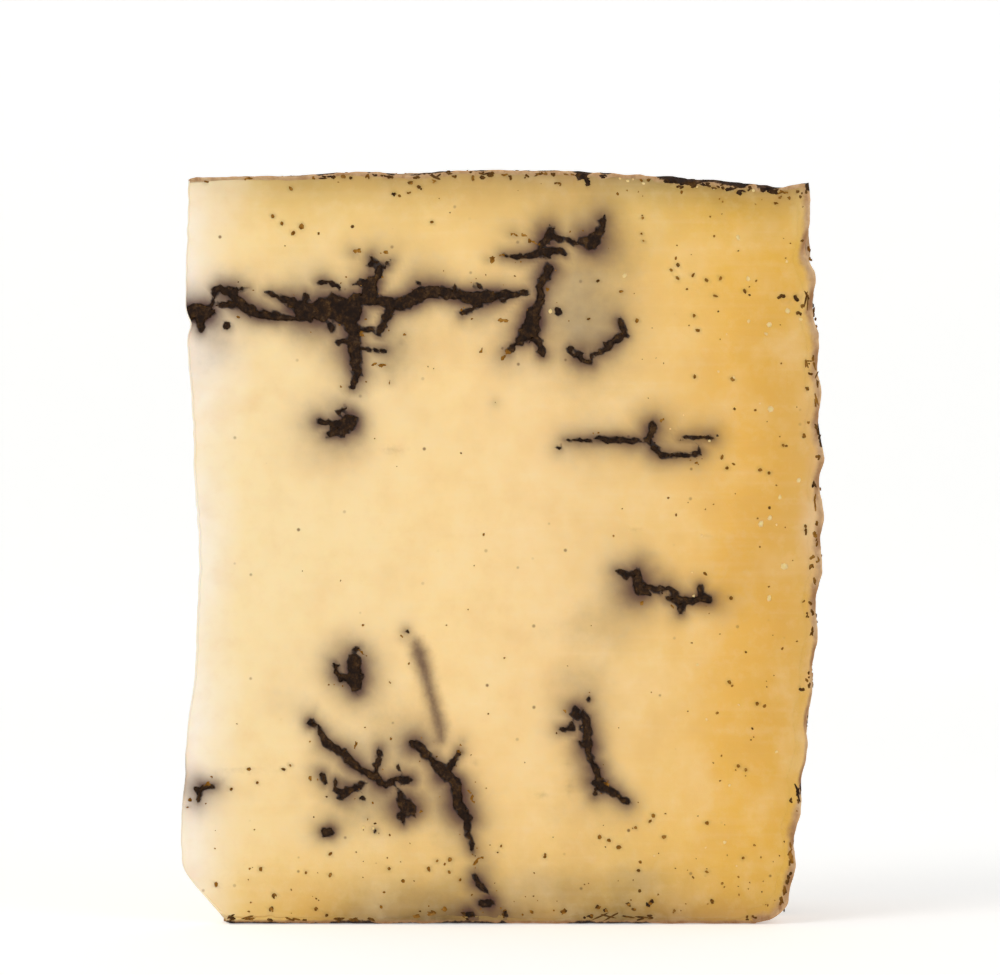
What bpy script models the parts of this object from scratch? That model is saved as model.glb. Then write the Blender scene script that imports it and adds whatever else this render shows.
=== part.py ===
"""Truffle sheep's milk cheese: one wedge of a basket-moulded wheel, standing on the wheel's base.

The wedge is worked out in the wheel's own terms: a radius from the wheel's axis, an angle round
it and a height. A flat-sided prism is split, finer where the relief is finer, and every point of
it is then carried to its place on the wheel: the barrel-shaped rind with its basket marks, the
domed top with its moulded lip, the worn tip edge with its chipped foot, and the crevices of the
truffle veins on both cut faces.

Frame: metres, +Z up. The front cut face looks to -Y, the tip edge is at -X and the rind at +X.
The origin is the middle of the floor of the bounding box.
"""
import math

import bmesh
import bpy
import numpy as np

MM = 0.001

# The wheel
WHEEL_HEIGHT = 125.0 * MM
BELLY_RADIUS = 107.1 * MM
BELLY_HEIGHT = 72.0 * MM
TOP_DRAFT = 2.2 * MM            # how much narrower the wheel is at its top than at its belly
BASE_DRAFT = 6.2 * MM           # the same at its base
BASE_CORNER = 4.5 * MM          # radius of the rounded corner at the base
WEDGE_ANGLE = math.radians(30.0)  # one twelfth of the wheel

# The top: a low crown, lower at the axis and at the rim, and the lip that the mould's edge leaves
CROWN_RADIUS = 50.0 * MM
AXIS_DIP = 1.6 * MM
RIM_DROP = 2.9 * MM
LIP_HEIGHT = 0.8 * MM
LIP_START = 99.0 * MM
LIP_WIDTH = 6.0 * MM
TOP_DIMPLES = ((19.8, 0.5), (38.0, 0.7))    # mm: radius and depth, along the front edge
DIMPLE_SIZE = 5.0 * MM

# The basket's weave, pressed into the rind
WEAVE_PITCH = 9.93 * MM         # two rows of canes
WEAVE_CREST = 9.5 * MM
STAKE_PITCH = 12.4 * MM
WEAVE_DEPTH = 0.42 * MM

# The tip edge: how far the knife and wear have left it from the wheel's axis, by height, in mm
TIP_WEAR = ((0.0, 1.2), (15.0, 0.8), (27.0, 1.6), (45.0, 3.5), (60.0, 4.1), (80.0, 3.1),
            (105.0, 1.6), (125.0, 2.1))
CHIP_REACH = 8.6 * MM           # the foot of the tip edge is broken off this far along the base
CHIP_SLOPE = 0.9
NOTCH_HEIGHT = 101.0 * MM       # a vein opens through the tip edge here
NOTCH_SIZE = 1.6 * MM
NOTCH_DEPTH = 0.8 * MM

# The crevices of the truffle veins on the front face, in mm: each is a half-width, and then the
# points that it passes, as a radius from the wheel's axis and a height
VEIN_DEPTH = 0.8 * MM
VEIN_BANK = 0.9 * MM            # the crevice's sloping side
VEINS = (
    (1.3, (2.6, 101.2), (5.2, 101.0)),
    (0.8, (6.4, 104.9), (9.4, 104.4), (11.8, 101.9), (14.5, 100.8), (21.0, 100.4)),
    (0.9, (15.5, 104.2), (18.5, 103.2), (21.0, 101.4)),
    (2.2, (23.5, 101.6), (28.5, 101.3)),
    (0.9, (33.6, 108.4), (32.4, 105.2), (32.0, 103.5)),
    (1.0, (29.5, 103.2), (36.5, 102.4), (40.5, 104.3), (44.5, 104.5), (50.0, 103.5), (55.5, 104.2)),
    (1.0, (28.9, 99.5), (29.4, 94.8), (29.9, 89.5)),
    (1.4, (27.4, 82.6), (28.6, 82.8)),
    (0.6, (53.5, 110.4), (59.0, 110.7), (63.8, 111.3)),
    (0.8, (60.4, 112.6), (61.9, 114.6)),
    (1.0, (65.0, 113.0), (68.6, 112.9), (70.5, 115.2)),
    (0.8, (61.6, 108.3), (60.5, 105.9), (60.1, 102.8)),
    (1.4, (59.4, 101.0), (58.2, 97.8)),
    (0.6, (66.7, 93.8), (68.8, 93.2), (71.8, 96.0), (74.0, 97.5), (73.3, 99.4)),
    (0.5, (65.5, 80.1), (77.8, 80.1), (79.2, 78.1), (86.2, 77.7)),
    (0.6, (78.3, 80.6), (78.9, 82.7)),
    (0.9, (76.0, 58.2), (76.9, 55.3)),
    (0.6, (78.5, 55.5), (81.0, 55.3), (83.2, 53.7), (88.0, 53.7)),
    (0.7, (66.3, 35.1), (67.8, 33.8), (68.1, 29.8), (69.6, 25.2), (71.0, 22.4), (74.8, 20.1)),
    (1.2, (29.5, 43.6), (29.8, 39.8)),
    (0.6, (22.3, 33.1), (24.6, 30.3), (28.0, 28.0), (31.5, 25.0), (34.3, 23.1), (38.6, 24.0)),
    (1.2, (37.8, 20.0), (38.1, 18.8)),
    (0.7, (38.8, 29.9), (40.3, 29.2), (43.0, 26.4), (46.5, 22.8), (47.0, 19.5), (48.1, 17.6)),
    (0.7, (49.6, 7.4), (51.1, 5.7)),
)

# The knife's faint undulation over both cut faces, always inward
KNIFE_WAVE = 0.12 * MM

# The flat-sided prism that is split before it takes the wedge's form, and the lengths that its
# edges may reach
PRISM_TIP = 2.5 * MM
OUTWARD_ROWS = 10
UPWARD_ROWS = 12
RIND_ROWS = 5                   # round the rind alone, as the wedge is too narrow at its tip
VEIN_EDGE = 2.0 * MM
FACE_EDGE = 11.0 * MM
EDGE_GROWTH = 0.7               # how fast the wanted length grows away from a vein
RIND_EDGE = 5.2 * MM
TOP_EDGE = 7.0 * MM
SPLIT_PASSES = 40

NEAR = 1e-5                     # a share this close to 0 or 1 lies on a side


def eased(value, keys):
    """Value by height through the keys, level at each key, as a smooth curve has it there."""
    at, to = (np.array(keys).T * MM)
    left = np.clip(np.searchsorted(at, value, side="right") - 1, 0, len(at) - 2)
    share = np.clip((value - at[left]) / (at[left + 1] - at[left]), 0.0, 1.0)
    return to[left] + (to[left + 1] - to[left]) * share * share * (3.0 - 2.0 * share)


def ramp(value):
    """0 below 0 and 1 above 1, with a smooth rise between."""
    share = np.clip(value, 0.0, 1.0)
    return share * share * (3.0 - 2.0 * share)


def tip_radius(height):
    """Radius of the worn tip edge: its wear, the broken foot and the notch of the open vein."""
    chip = CHIP_REACH - CHIP_SLOPE * height
    notch = NOTCH_DEPTH * np.exp(-((height - NOTCH_HEIGHT) / NOTCH_SIZE) ** 2)
    return np.maximum(eased(height, TIP_WEAR), chip) + notch


def rim_radius(height):
    """Radius of the barrel: two parabolas that meet at the belly, and a quarter round below."""
    above = TOP_DRAFT * ((height - BELLY_HEIGHT) / (WHEEL_HEIGHT - BELLY_HEIGHT)) ** 2
    below = BASE_DRAFT * ((BELLY_HEIGHT - height) / BELLY_HEIGHT) ** 2
    radius = BELLY_RADIUS - np.where(height > BELLY_HEIGHT, above, below)
    inside = np.clip(BASE_CORNER - height, 0.0, BASE_CORNER)
    return radius - (BASE_CORNER - np.sqrt(BASE_CORNER ** 2 - inside ** 2))


def weave(arc, height):
    """Basket marks: rounded pads in a chequer, as canes that pass before and behind stakes."""
    rows = np.cos(2.0 * math.pi * (height - WEAVE_CREST) / WEAVE_PITCH)
    stakes = np.cos(math.pi * arc / STAKE_PITCH)
    fade = ramp(height / (2.0 * BASE_CORNER)) * ramp((WHEEL_HEIGHT - height) / (2.0 * BASE_CORNER))
    return WEAVE_DEPTH * rows * stakes * fade


def top_height(radius, angle):
    """Height of the top: a crown that falls to the axis and the rim, then rises to the lip."""
    inner = AXIS_DIP * np.clip(1.0 - radius / CROWN_RADIUS, 0.0, 1.0) ** 2
    outer = RIM_DROP * np.clip(radius / CROWN_RADIUS - 1.0, 0.0, 1.0) ** 2
    height = WHEEL_HEIGHT - inner - outer + LIP_HEIGHT * ramp((radius - LIP_START) / LIP_WIDTH)
    for at, depth in TOP_DIMPLES:
        away = np.hypot(radius * np.cos(angle) - at * MM, radius * np.sin(angle))
        height = height - depth * MM * np.exp(-(away / DIMPLE_SIZE) ** 2)
    return height


def back_places(points):
    """Where the front's vein points lie on the back face: the paste's layers run through the
    wheel, and the second cut meets them upside down and bent by a slow wave."""
    radius, height = points.T
    bent_radius = radius + 3.0 * MM * np.sin(height / (9.0 * MM) + 1.0) + 3.0 * MM
    bent_height = WHEEL_HEIGHT - height + 2.5 * MM * np.sin(radius / (11.0 * MM))
    return np.stack([bent_radius, bent_height], axis=1)


def vein_lines(back):
    """Every straight piece of every vein on one cut face, as starts, ends and half-widths."""
    starts, ends, widths = [], [], []
    for half_width, *route in VEINS:
        points = np.array(route) * MM
        if back:
            points = back_places(points)
        starts.append(points[:-1])
        ends.append(points[1:])
        widths.append(np.full(len(points) - 1, half_width * MM))
    return np.concatenate(starts), np.concatenate(ends), np.concatenate(widths)


VEIN_LINES = {False: vein_lines(False), True: vein_lines(True)}


def vein_gap(radius, height, back):
    """Distance from points of a cut face to the nearest vein's side, below 0 inside a vein."""
    starts, ends, widths = VEIN_LINES[back]
    points = np.stack([radius, height], axis=1)[:, None, :]
    along = ends - starts
    share = np.sum((points - starts) * along, axis=2) / np.sum(along * along, axis=1)
    nearest = starts + np.clip(share, 0.0, 1.0)[:, :, None] * along
    away = np.linalg.norm(points - nearest, axis=2)
    return np.min(away - widths, axis=1)


def cut_depth(radius, height, back):
    """How far a cut face lies behind its plane: the veins' crevices and the knife's wave."""
    crevice = VEIN_DEPTH * ramp(0.5 - vein_gap(radius, height, back) / VEIN_BANK)
    wave = np.sin(radius / (9.0 * MM) + 0.6) * np.sin(height / (13.0 * MM) + 1.1)
    return crevice + KNIFE_WAVE * (0.5 + 0.5 * wave)


def bow(angle):
    """How much further out an arc lies than its chord, which the prism has in the arc's place."""
    return np.cos(angle - WEDGE_ANGLE / 2.0) / math.cos(WEDGE_ANGLE / 2.0)


def shares_of(points):
    """Turns points of the flat-sided prism into shares from 0 to 1: from the tip edge to the
    rind, from the front face round to the back one, and from base to top."""
    across_x, across_y, up = points.T
    angle = np.arctan2(across_y, across_x)
    radius = np.hypot(across_x, across_y) * bow(angle)
    return (radius - PRISM_TIP) / (BELLY_RADIUS - PRISM_TIP), angle / WEDGE_ANGLE, up / WHEEL_HEIGHT


def place(points):
    """Carries points of the flat-sided prism to their places on the wedge."""
    outward, turn, rise = shares_of(points)
    angle = turn * WEDGE_ANGLE
    level = rise * WHEEL_HEIGHT
    tip = tip_radius(level)
    radius = tip + outward * (rim_radius(level) - tip)
    radius = radius + np.where(outward > 1.0 - NEAR, weave(radius * angle, level), 0.0)
    height = rise * top_height(radius, angle)
    front = np.where(turn < NEAR, cut_depth(radius, height, False), 0.0)
    back = np.where(turn > 1.0 - NEAR, cut_depth(radius, height, True), 0.0)
    place_x = radius * np.cos(angle) + back * math.sin(WEDGE_ANGLE)
    place_y = radius * np.sin(angle) + front - back * math.cos(WEDGE_ANGLE)
    return np.stack([place_x, place_y, height], axis=1)


def wanted_length(middles):
    """The length that an edge may have, from the prism's point at its middle."""
    outward, turn, rise = shares_of(middles)
    on_rind = outward > 1.0 - NEAR
    wanted = np.where(on_rind, RIND_EDGE, TOP_EDGE)
    for back, on_face in ((False, turn < NEAR), (True, turn > 1.0 - NEAR)):
        gap = vein_gap(outward * BELLY_RADIUS, rise * WHEEL_HEIGHT, back)
        near_vein = VEIN_EDGE + EDGE_GROWTH * np.maximum(gap - VEIN_BANK, 0.0)
        length = np.minimum(near_vein, np.where(on_rind, RIND_EDGE, FACE_EDGE))
        wanted = np.where(on_face, length, wanted)
    return wanted


def split_long_edges(bm):
    """Halves each edge that is longer than wanted and the longest of a face beside it, and says
    how many there were."""
    bm.verts.index_update()
    bm.edges.index_update()
    edges = list(bm.edges)
    points = np.array([vert.co for vert in bm.verts])
    ends = np.array([[vert.index for vert in edge.verts] for edge in edges])
    start, end = points[ends[:, 0]], points[ends[:, 1]]
    length = np.linalg.norm(start - end, axis=1)
    sides = np.array([[edge.index for edge in face.edges] for face in bm.faces])
    longest = np.zeros(len(edges), dtype=bool)
    longest[sides[np.arange(len(sides)), np.argmax(length[sides], axis=1)]] = True
    cut = longest & (length > wanted_length((start + end) / 2.0))
    if cut.any():
        bmesh.ops.subdivide_edges(bm, edges=[edges[index] for index in np.flatnonzero(cut)], cuts=1)
        bmesh.ops.triangulate(bm, faces=bm.faces[:])
    return np.count_nonzero(cut)


def make_prism():
    """The wedge with flat sides: a cube carried to its corners and split as its relief needs."""
    bm = bmesh.new()
    bmesh.ops.create_cube(bm, size=1.0)
    for axis, rows, least in ((0, OUTWARD_ROWS, -1.0), (2, UPWARD_ROWS, -1.0), (1, RIND_ROWS, 0.4)):
        along = [edge for edge in bm.edges
                 if abs(edge.verts[0].co[axis] - edge.verts[1].co[axis]) > NEAR
                 and min(vert.co.x for vert in edge.verts) > least]
        bmesh.ops.subdivide_edges(bm, edges=along, cuts=rows - 1)
    for vert in bm.verts:
        outward, turn, rise = np.array(vert.co) + 0.5
        angle = turn * WEDGE_ANGLE
        radius = (PRISM_TIP + outward * (BELLY_RADIUS - PRISM_TIP)) / bow(angle)
        vert.co = (radius * math.cos(angle), radius * math.sin(angle), rise * WHEEL_HEIGHT)
    bmesh.ops.triangulate(bm, faces=bm.faces[:])
    for _ in range(SPLIT_PASSES):
        if not split_long_edges(bm):
            break
    return bm


def make_material(name, colour, roughness):
    """A Principled material of one colour."""
    material = bpy.data.materials.new(name)
    material.use_nodes = True
    shader = material.node_tree.nodes["Principled BSDF"]
    shader.inputs["Base Color"].default_value = (*colour, 1.0)
    shader.inputs["Roughness"].default_value = roughness
    shader.inputs["Metallic"].default_value = 0.0
    material.diffuse_color = (*colour, 1.0)
    return material


def finish_of(middles):
    """Material number of each face, from the prism's point at its middle: rind, paste, vein."""
    outward, turn, rise = shares_of(middles)
    finish = np.zeros(len(middles), dtype=int)
    level = rise * WHEEL_HEIGHT
    radius = tip_radius(level) + outward * (rim_radius(level) - tip_radius(level))
    for back, on_face in ((False, turn < NEAR), (True, turn > 1.0 - NEAR)):
        dark = vein_gap(radius, level, back) < 0.0
        finish = np.where(on_face, np.where(dark, 2, 1), finish)
    return np.where(outward < NEAR, 1, finish)


def make_wedge(collection):
    """The wedge's object, with its origin at the middle of its bounding box's floor."""
    bm = make_prism()
    finishes = finish_of(np.array([face.calc_center_median() for face in bm.faces]))
    places = place(np.array([vert.co for vert in bm.verts]))
    lowest = places.min(axis=0)
    middle = (lowest + places.max(axis=0)) / 2.0
    places = places - np.array([middle[0], middle[1], lowest[2]])
    for vert, spot in zip(bm.verts, places):
        vert.co = spot
    for face, finish in zip(bm.faces, finishes):
        face.material_index = int(finish)
    bmesh.ops.recalc_face_normals(bm, faces=bm.faces[:])
    mesh = bpy.data.meshes.new("cheese_wedge")
    bm.to_mesh(mesh)
    bm.free()
    mesh.materials.append(make_material("moulded rind", (0.42, 0.25, 0.13), 0.75))
    mesh.materials.append(make_material("cut sheep cheese", (0.90, 0.66, 0.34), 0.55))
    mesh.materials.append(make_material("truffle paste", (0.020, 0.012, 0.009), 0.60))
    mesh.shade_smooth()
    mesh.set_sharp_from_angle(angle=math.radians(40.0))
    wedge = bpy.data.objects.new("cheese_wedge", mesh)
    collection.objects.link(wedge)
    return wedge


def main():
    """Clears the scene and makes the wedge in its own collection."""
    for old in list(bpy.data.objects):
        bpy.data.objects.remove(old, do_unlink=True)
    collection = bpy.data.collections.new("truffle_cheese_wedge")
    bpy.context.scene.collection.children.link(collection)
    make_wedge(collection)


main()
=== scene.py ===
"""Looks of the truffle sheep's milk cheese wedge: the cut cheese, its moulded rind, the truffle
paste in its crevices, truffle crumbs and crystals, and the studio round them.

Shapes are worked out in the wheel's own terms, in millimetres: a radius from the wheel's axis, an
angle round it from the front cut face, and a height. They become metres when a mesh is made.
"""

import math

import bpy
import numpy as np
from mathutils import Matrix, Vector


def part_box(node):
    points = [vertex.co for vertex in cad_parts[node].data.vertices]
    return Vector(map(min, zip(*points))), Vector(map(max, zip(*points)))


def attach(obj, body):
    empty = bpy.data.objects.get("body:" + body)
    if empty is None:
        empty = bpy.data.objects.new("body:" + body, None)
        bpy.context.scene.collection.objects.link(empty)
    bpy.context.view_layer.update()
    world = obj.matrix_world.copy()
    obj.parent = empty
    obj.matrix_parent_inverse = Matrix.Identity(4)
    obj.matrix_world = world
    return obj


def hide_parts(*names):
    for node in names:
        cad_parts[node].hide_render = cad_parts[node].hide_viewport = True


bl_info = {
    "name": "Truffle cheese wedge",
    "version": (1, 0, 0),
    "blender": (4, 5, 0),
    "location": "View3D > Sidebar > Cheese",
    "description": "Builds a wedge of truffle sheep's milk cheese round its packed frame",
    "category": "Object",
}

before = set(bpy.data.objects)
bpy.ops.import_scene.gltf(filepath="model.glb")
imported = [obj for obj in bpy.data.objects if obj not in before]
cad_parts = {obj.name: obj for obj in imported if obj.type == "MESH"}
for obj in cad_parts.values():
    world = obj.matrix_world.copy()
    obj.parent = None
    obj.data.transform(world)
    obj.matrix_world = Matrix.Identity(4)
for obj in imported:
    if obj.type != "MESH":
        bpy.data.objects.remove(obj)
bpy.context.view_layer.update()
NODE = "cheese_wedge"
NODE_LOW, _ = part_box(NODE)

MM = 0.001
FAR = 1000.0                    # mm: further than any two points of the wedge

# The wheel, as the solid has it
WHEEL_HEIGHT = 125.0
BELLY_RADIUS = 107.1
BELLY_HEIGHT = 72.0
TOP_DRAFT = 2.2
BASE_DRAFT = 6.2
BASE_CORNER = 4.5
WEDGE_ANGLE = math.radians(30.0)
AXIS_X = -54.085                # the wheel's axis in the frame; the front cut face's plane holds it
AXIS_Y = NODE_LOW.y / MM

CROWN_RADIUS = 50.0
AXIS_DIP = 1.6
RIM_DROP = 2.9
LIP_HEIGHT = 0.8
LIP_START = 99.0
LIP_WIDTH = 6.0
TOP_DIMPLES = ((19.8, 0.5), (38.0, 0.7))
DIMPLE_SIZE = 5.0

WEAVE_PITCH = 9.93
WEAVE_CREST = 9.5
STAKE_PITCH = 12.4

TIP_WEAR = ((0.0, 1.2), (15.0, 0.8), (27.0, 1.6), (45.0, 3.5), (60.0, 4.1), (80.0, 3.1),
            (105.0, 1.6), (125.0, 2.1))
CHIP_REACH = 8.6
CHIP_SLOPE = 0.9
CHIP_ROUND = 0.6
TIP_WAVER = 0.12                # the drawn tip edge wavers by up to this, inwards alone
NOTCH_HEIGHT = 101.0
NOTCH_SIZE = 1.6
NOTCH_DEPTH = 0.8

# How the rind's edge beside the front cut departs from the smooth barrel, by height
RIM_WANDER = ((0.0, 0.1), (5.6, 0.1), (13.0, -0.15), (19.5, -0.5), (25.5, -0.3), (30.0, -0.62),
              (41.0, -0.6), (45.3, 0.0), (50.5, -0.45), (57.2, -0.28), (63.0, 0.15), (69.0, -0.1),
              (79.0, 0.0), (89.0, -0.3), (95.0, 0.0), (99.0, -0.45), (107.0, -0.4), (114.8, -0.95),
              (118.8, -0.7), (122.5, 0.2), (125.0, 0.0))
WANDER_REACH = 7.0              # and fades over this much of the rind's arc

# The dark coat of truffle on the rind, as the front cut shows its thickness: along the top and the
# base by radius, and up the rind by height. Below 0 the rind is bare
TOP_COAT = ((0.0, -0.1), (22.5, -0.1), (24.0, 0.35), (26.0, 0.35), (27.2, -0.1), (31.0, -0.1),
            (32.0, 0.2), (33.5, -0.1), (35.5, 0.4), (37.5, -0.1), (40.0, 0.25), (42.0, 0.35),
            (45.5, 0.3), (46.8, -0.1), (50.5, 0.3), (53.0, -0.1), (57.0, 0.1), (61.0, 0.25),
            (64.0, 0.0), (66.2, 0.1), (67.6, 1.8), (69.2, 0.0), (71.5, 0.45), (73.0, -0.1),
            (79.3, -0.1), (80.6, 0.7), (84.0, 1.3), (86.0, 1.2), (89.0, 0.5), (92.5, 0.8),
            (94.5, 0.9), (95.6, 0.0), (97.5, 0.9), (99.5, 0.7), (100.6, -0.1), (104.0, -0.1),
            (105.3, 0.8), (110.0, 0.6))
BASE_COAT = ((0.0, 0.1), (7.0, 0.6), (9.0, 0.5), (10.5, 0.2), (15.0, 0.25), (15.7, 0.5),
             (16.6, 0.2), (25.0, 0.15), (27.0, 0.6), (32.0, 0.6), (34.0, 0.0), (38.0, 0.2),
             (42.0, 0.1), (46.0, 0.5), (52.0, 0.4), (53.4, 0.1), (54.3, 0.6), (55.5, -0.1),
             (64.0, -0.1), (66.0, 0.35), (68.3, 0.6), (70.0, 0.35), (78.0, 0.3), (80.0, -0.1),
             (110.0, -0.1))
RIM_COAT = ((0.0, -0.2), (19.5, -0.2), (22.3, 0.4), (24.5, -0.2), (55.0, -0.2), (56.5, 0.2),
            (58.0, -0.2), (78.0, -0.2), (80.0, 0.4), (82.5, 0.3), (84.0, -0.2), (121.0, -0.2),
            (122.5, 0.7), (125.0, 0.8))
# How fast the rind's colour turns to the cheese's along the barrel's cut, by height
RIND_FADES = ((0.0, 1.0), (18.0, 1.0), (26.0, 2.6), (42.0, 2.6), (50.0, 1.0), (125.0, 1.0))
BASE_FADE = 2.2                 # and along the base's
COAT_REACH = 4.0                # beyond this far from the cut, the coat is patches of its own

FLAT_SKIN = 0.9                 # how far the rind reaches into the cheese on top and base
BARREL_SKIN = 2.3               # and on the barrel
BODY_INSET = 0.6                # the cheese's own outside lies this far under the rind's
FACE_INSET = 0.13               # and its cut faces this far behind the solid's
PROUD = 0.03                    # the rind's cut edge stands off the cheese, so that neither hides

# The stain round a vein: its reach and its strength, which grow with the vein's half-width
HALO_NEAR = 1.75                # mm over which a thin vein's stain falls to a third
HALO_GROWTH = 1.65
HALO_FAR = 3.6
HALO_FAINT = 0.6
HALO_DEEPENS = 0.42
HALO_DEEP = 0.96
HALO_DRIFT = 0.5                # how much the reach drifts, over lumps of the pitch
HALO_DRIFT_PITCH = 7.0
LONE_HALO = 0.7                 # a lone dot's stain, as a share of a vein's
BROWN_HALO = 0.6                # and a brown vein's
BURIED_SOFTNESS = 6.0           # mm over which the buried vein's edge fades
SPECK_STAIN = 0.5               # how strongly a speck stains the cheese close round it

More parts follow.
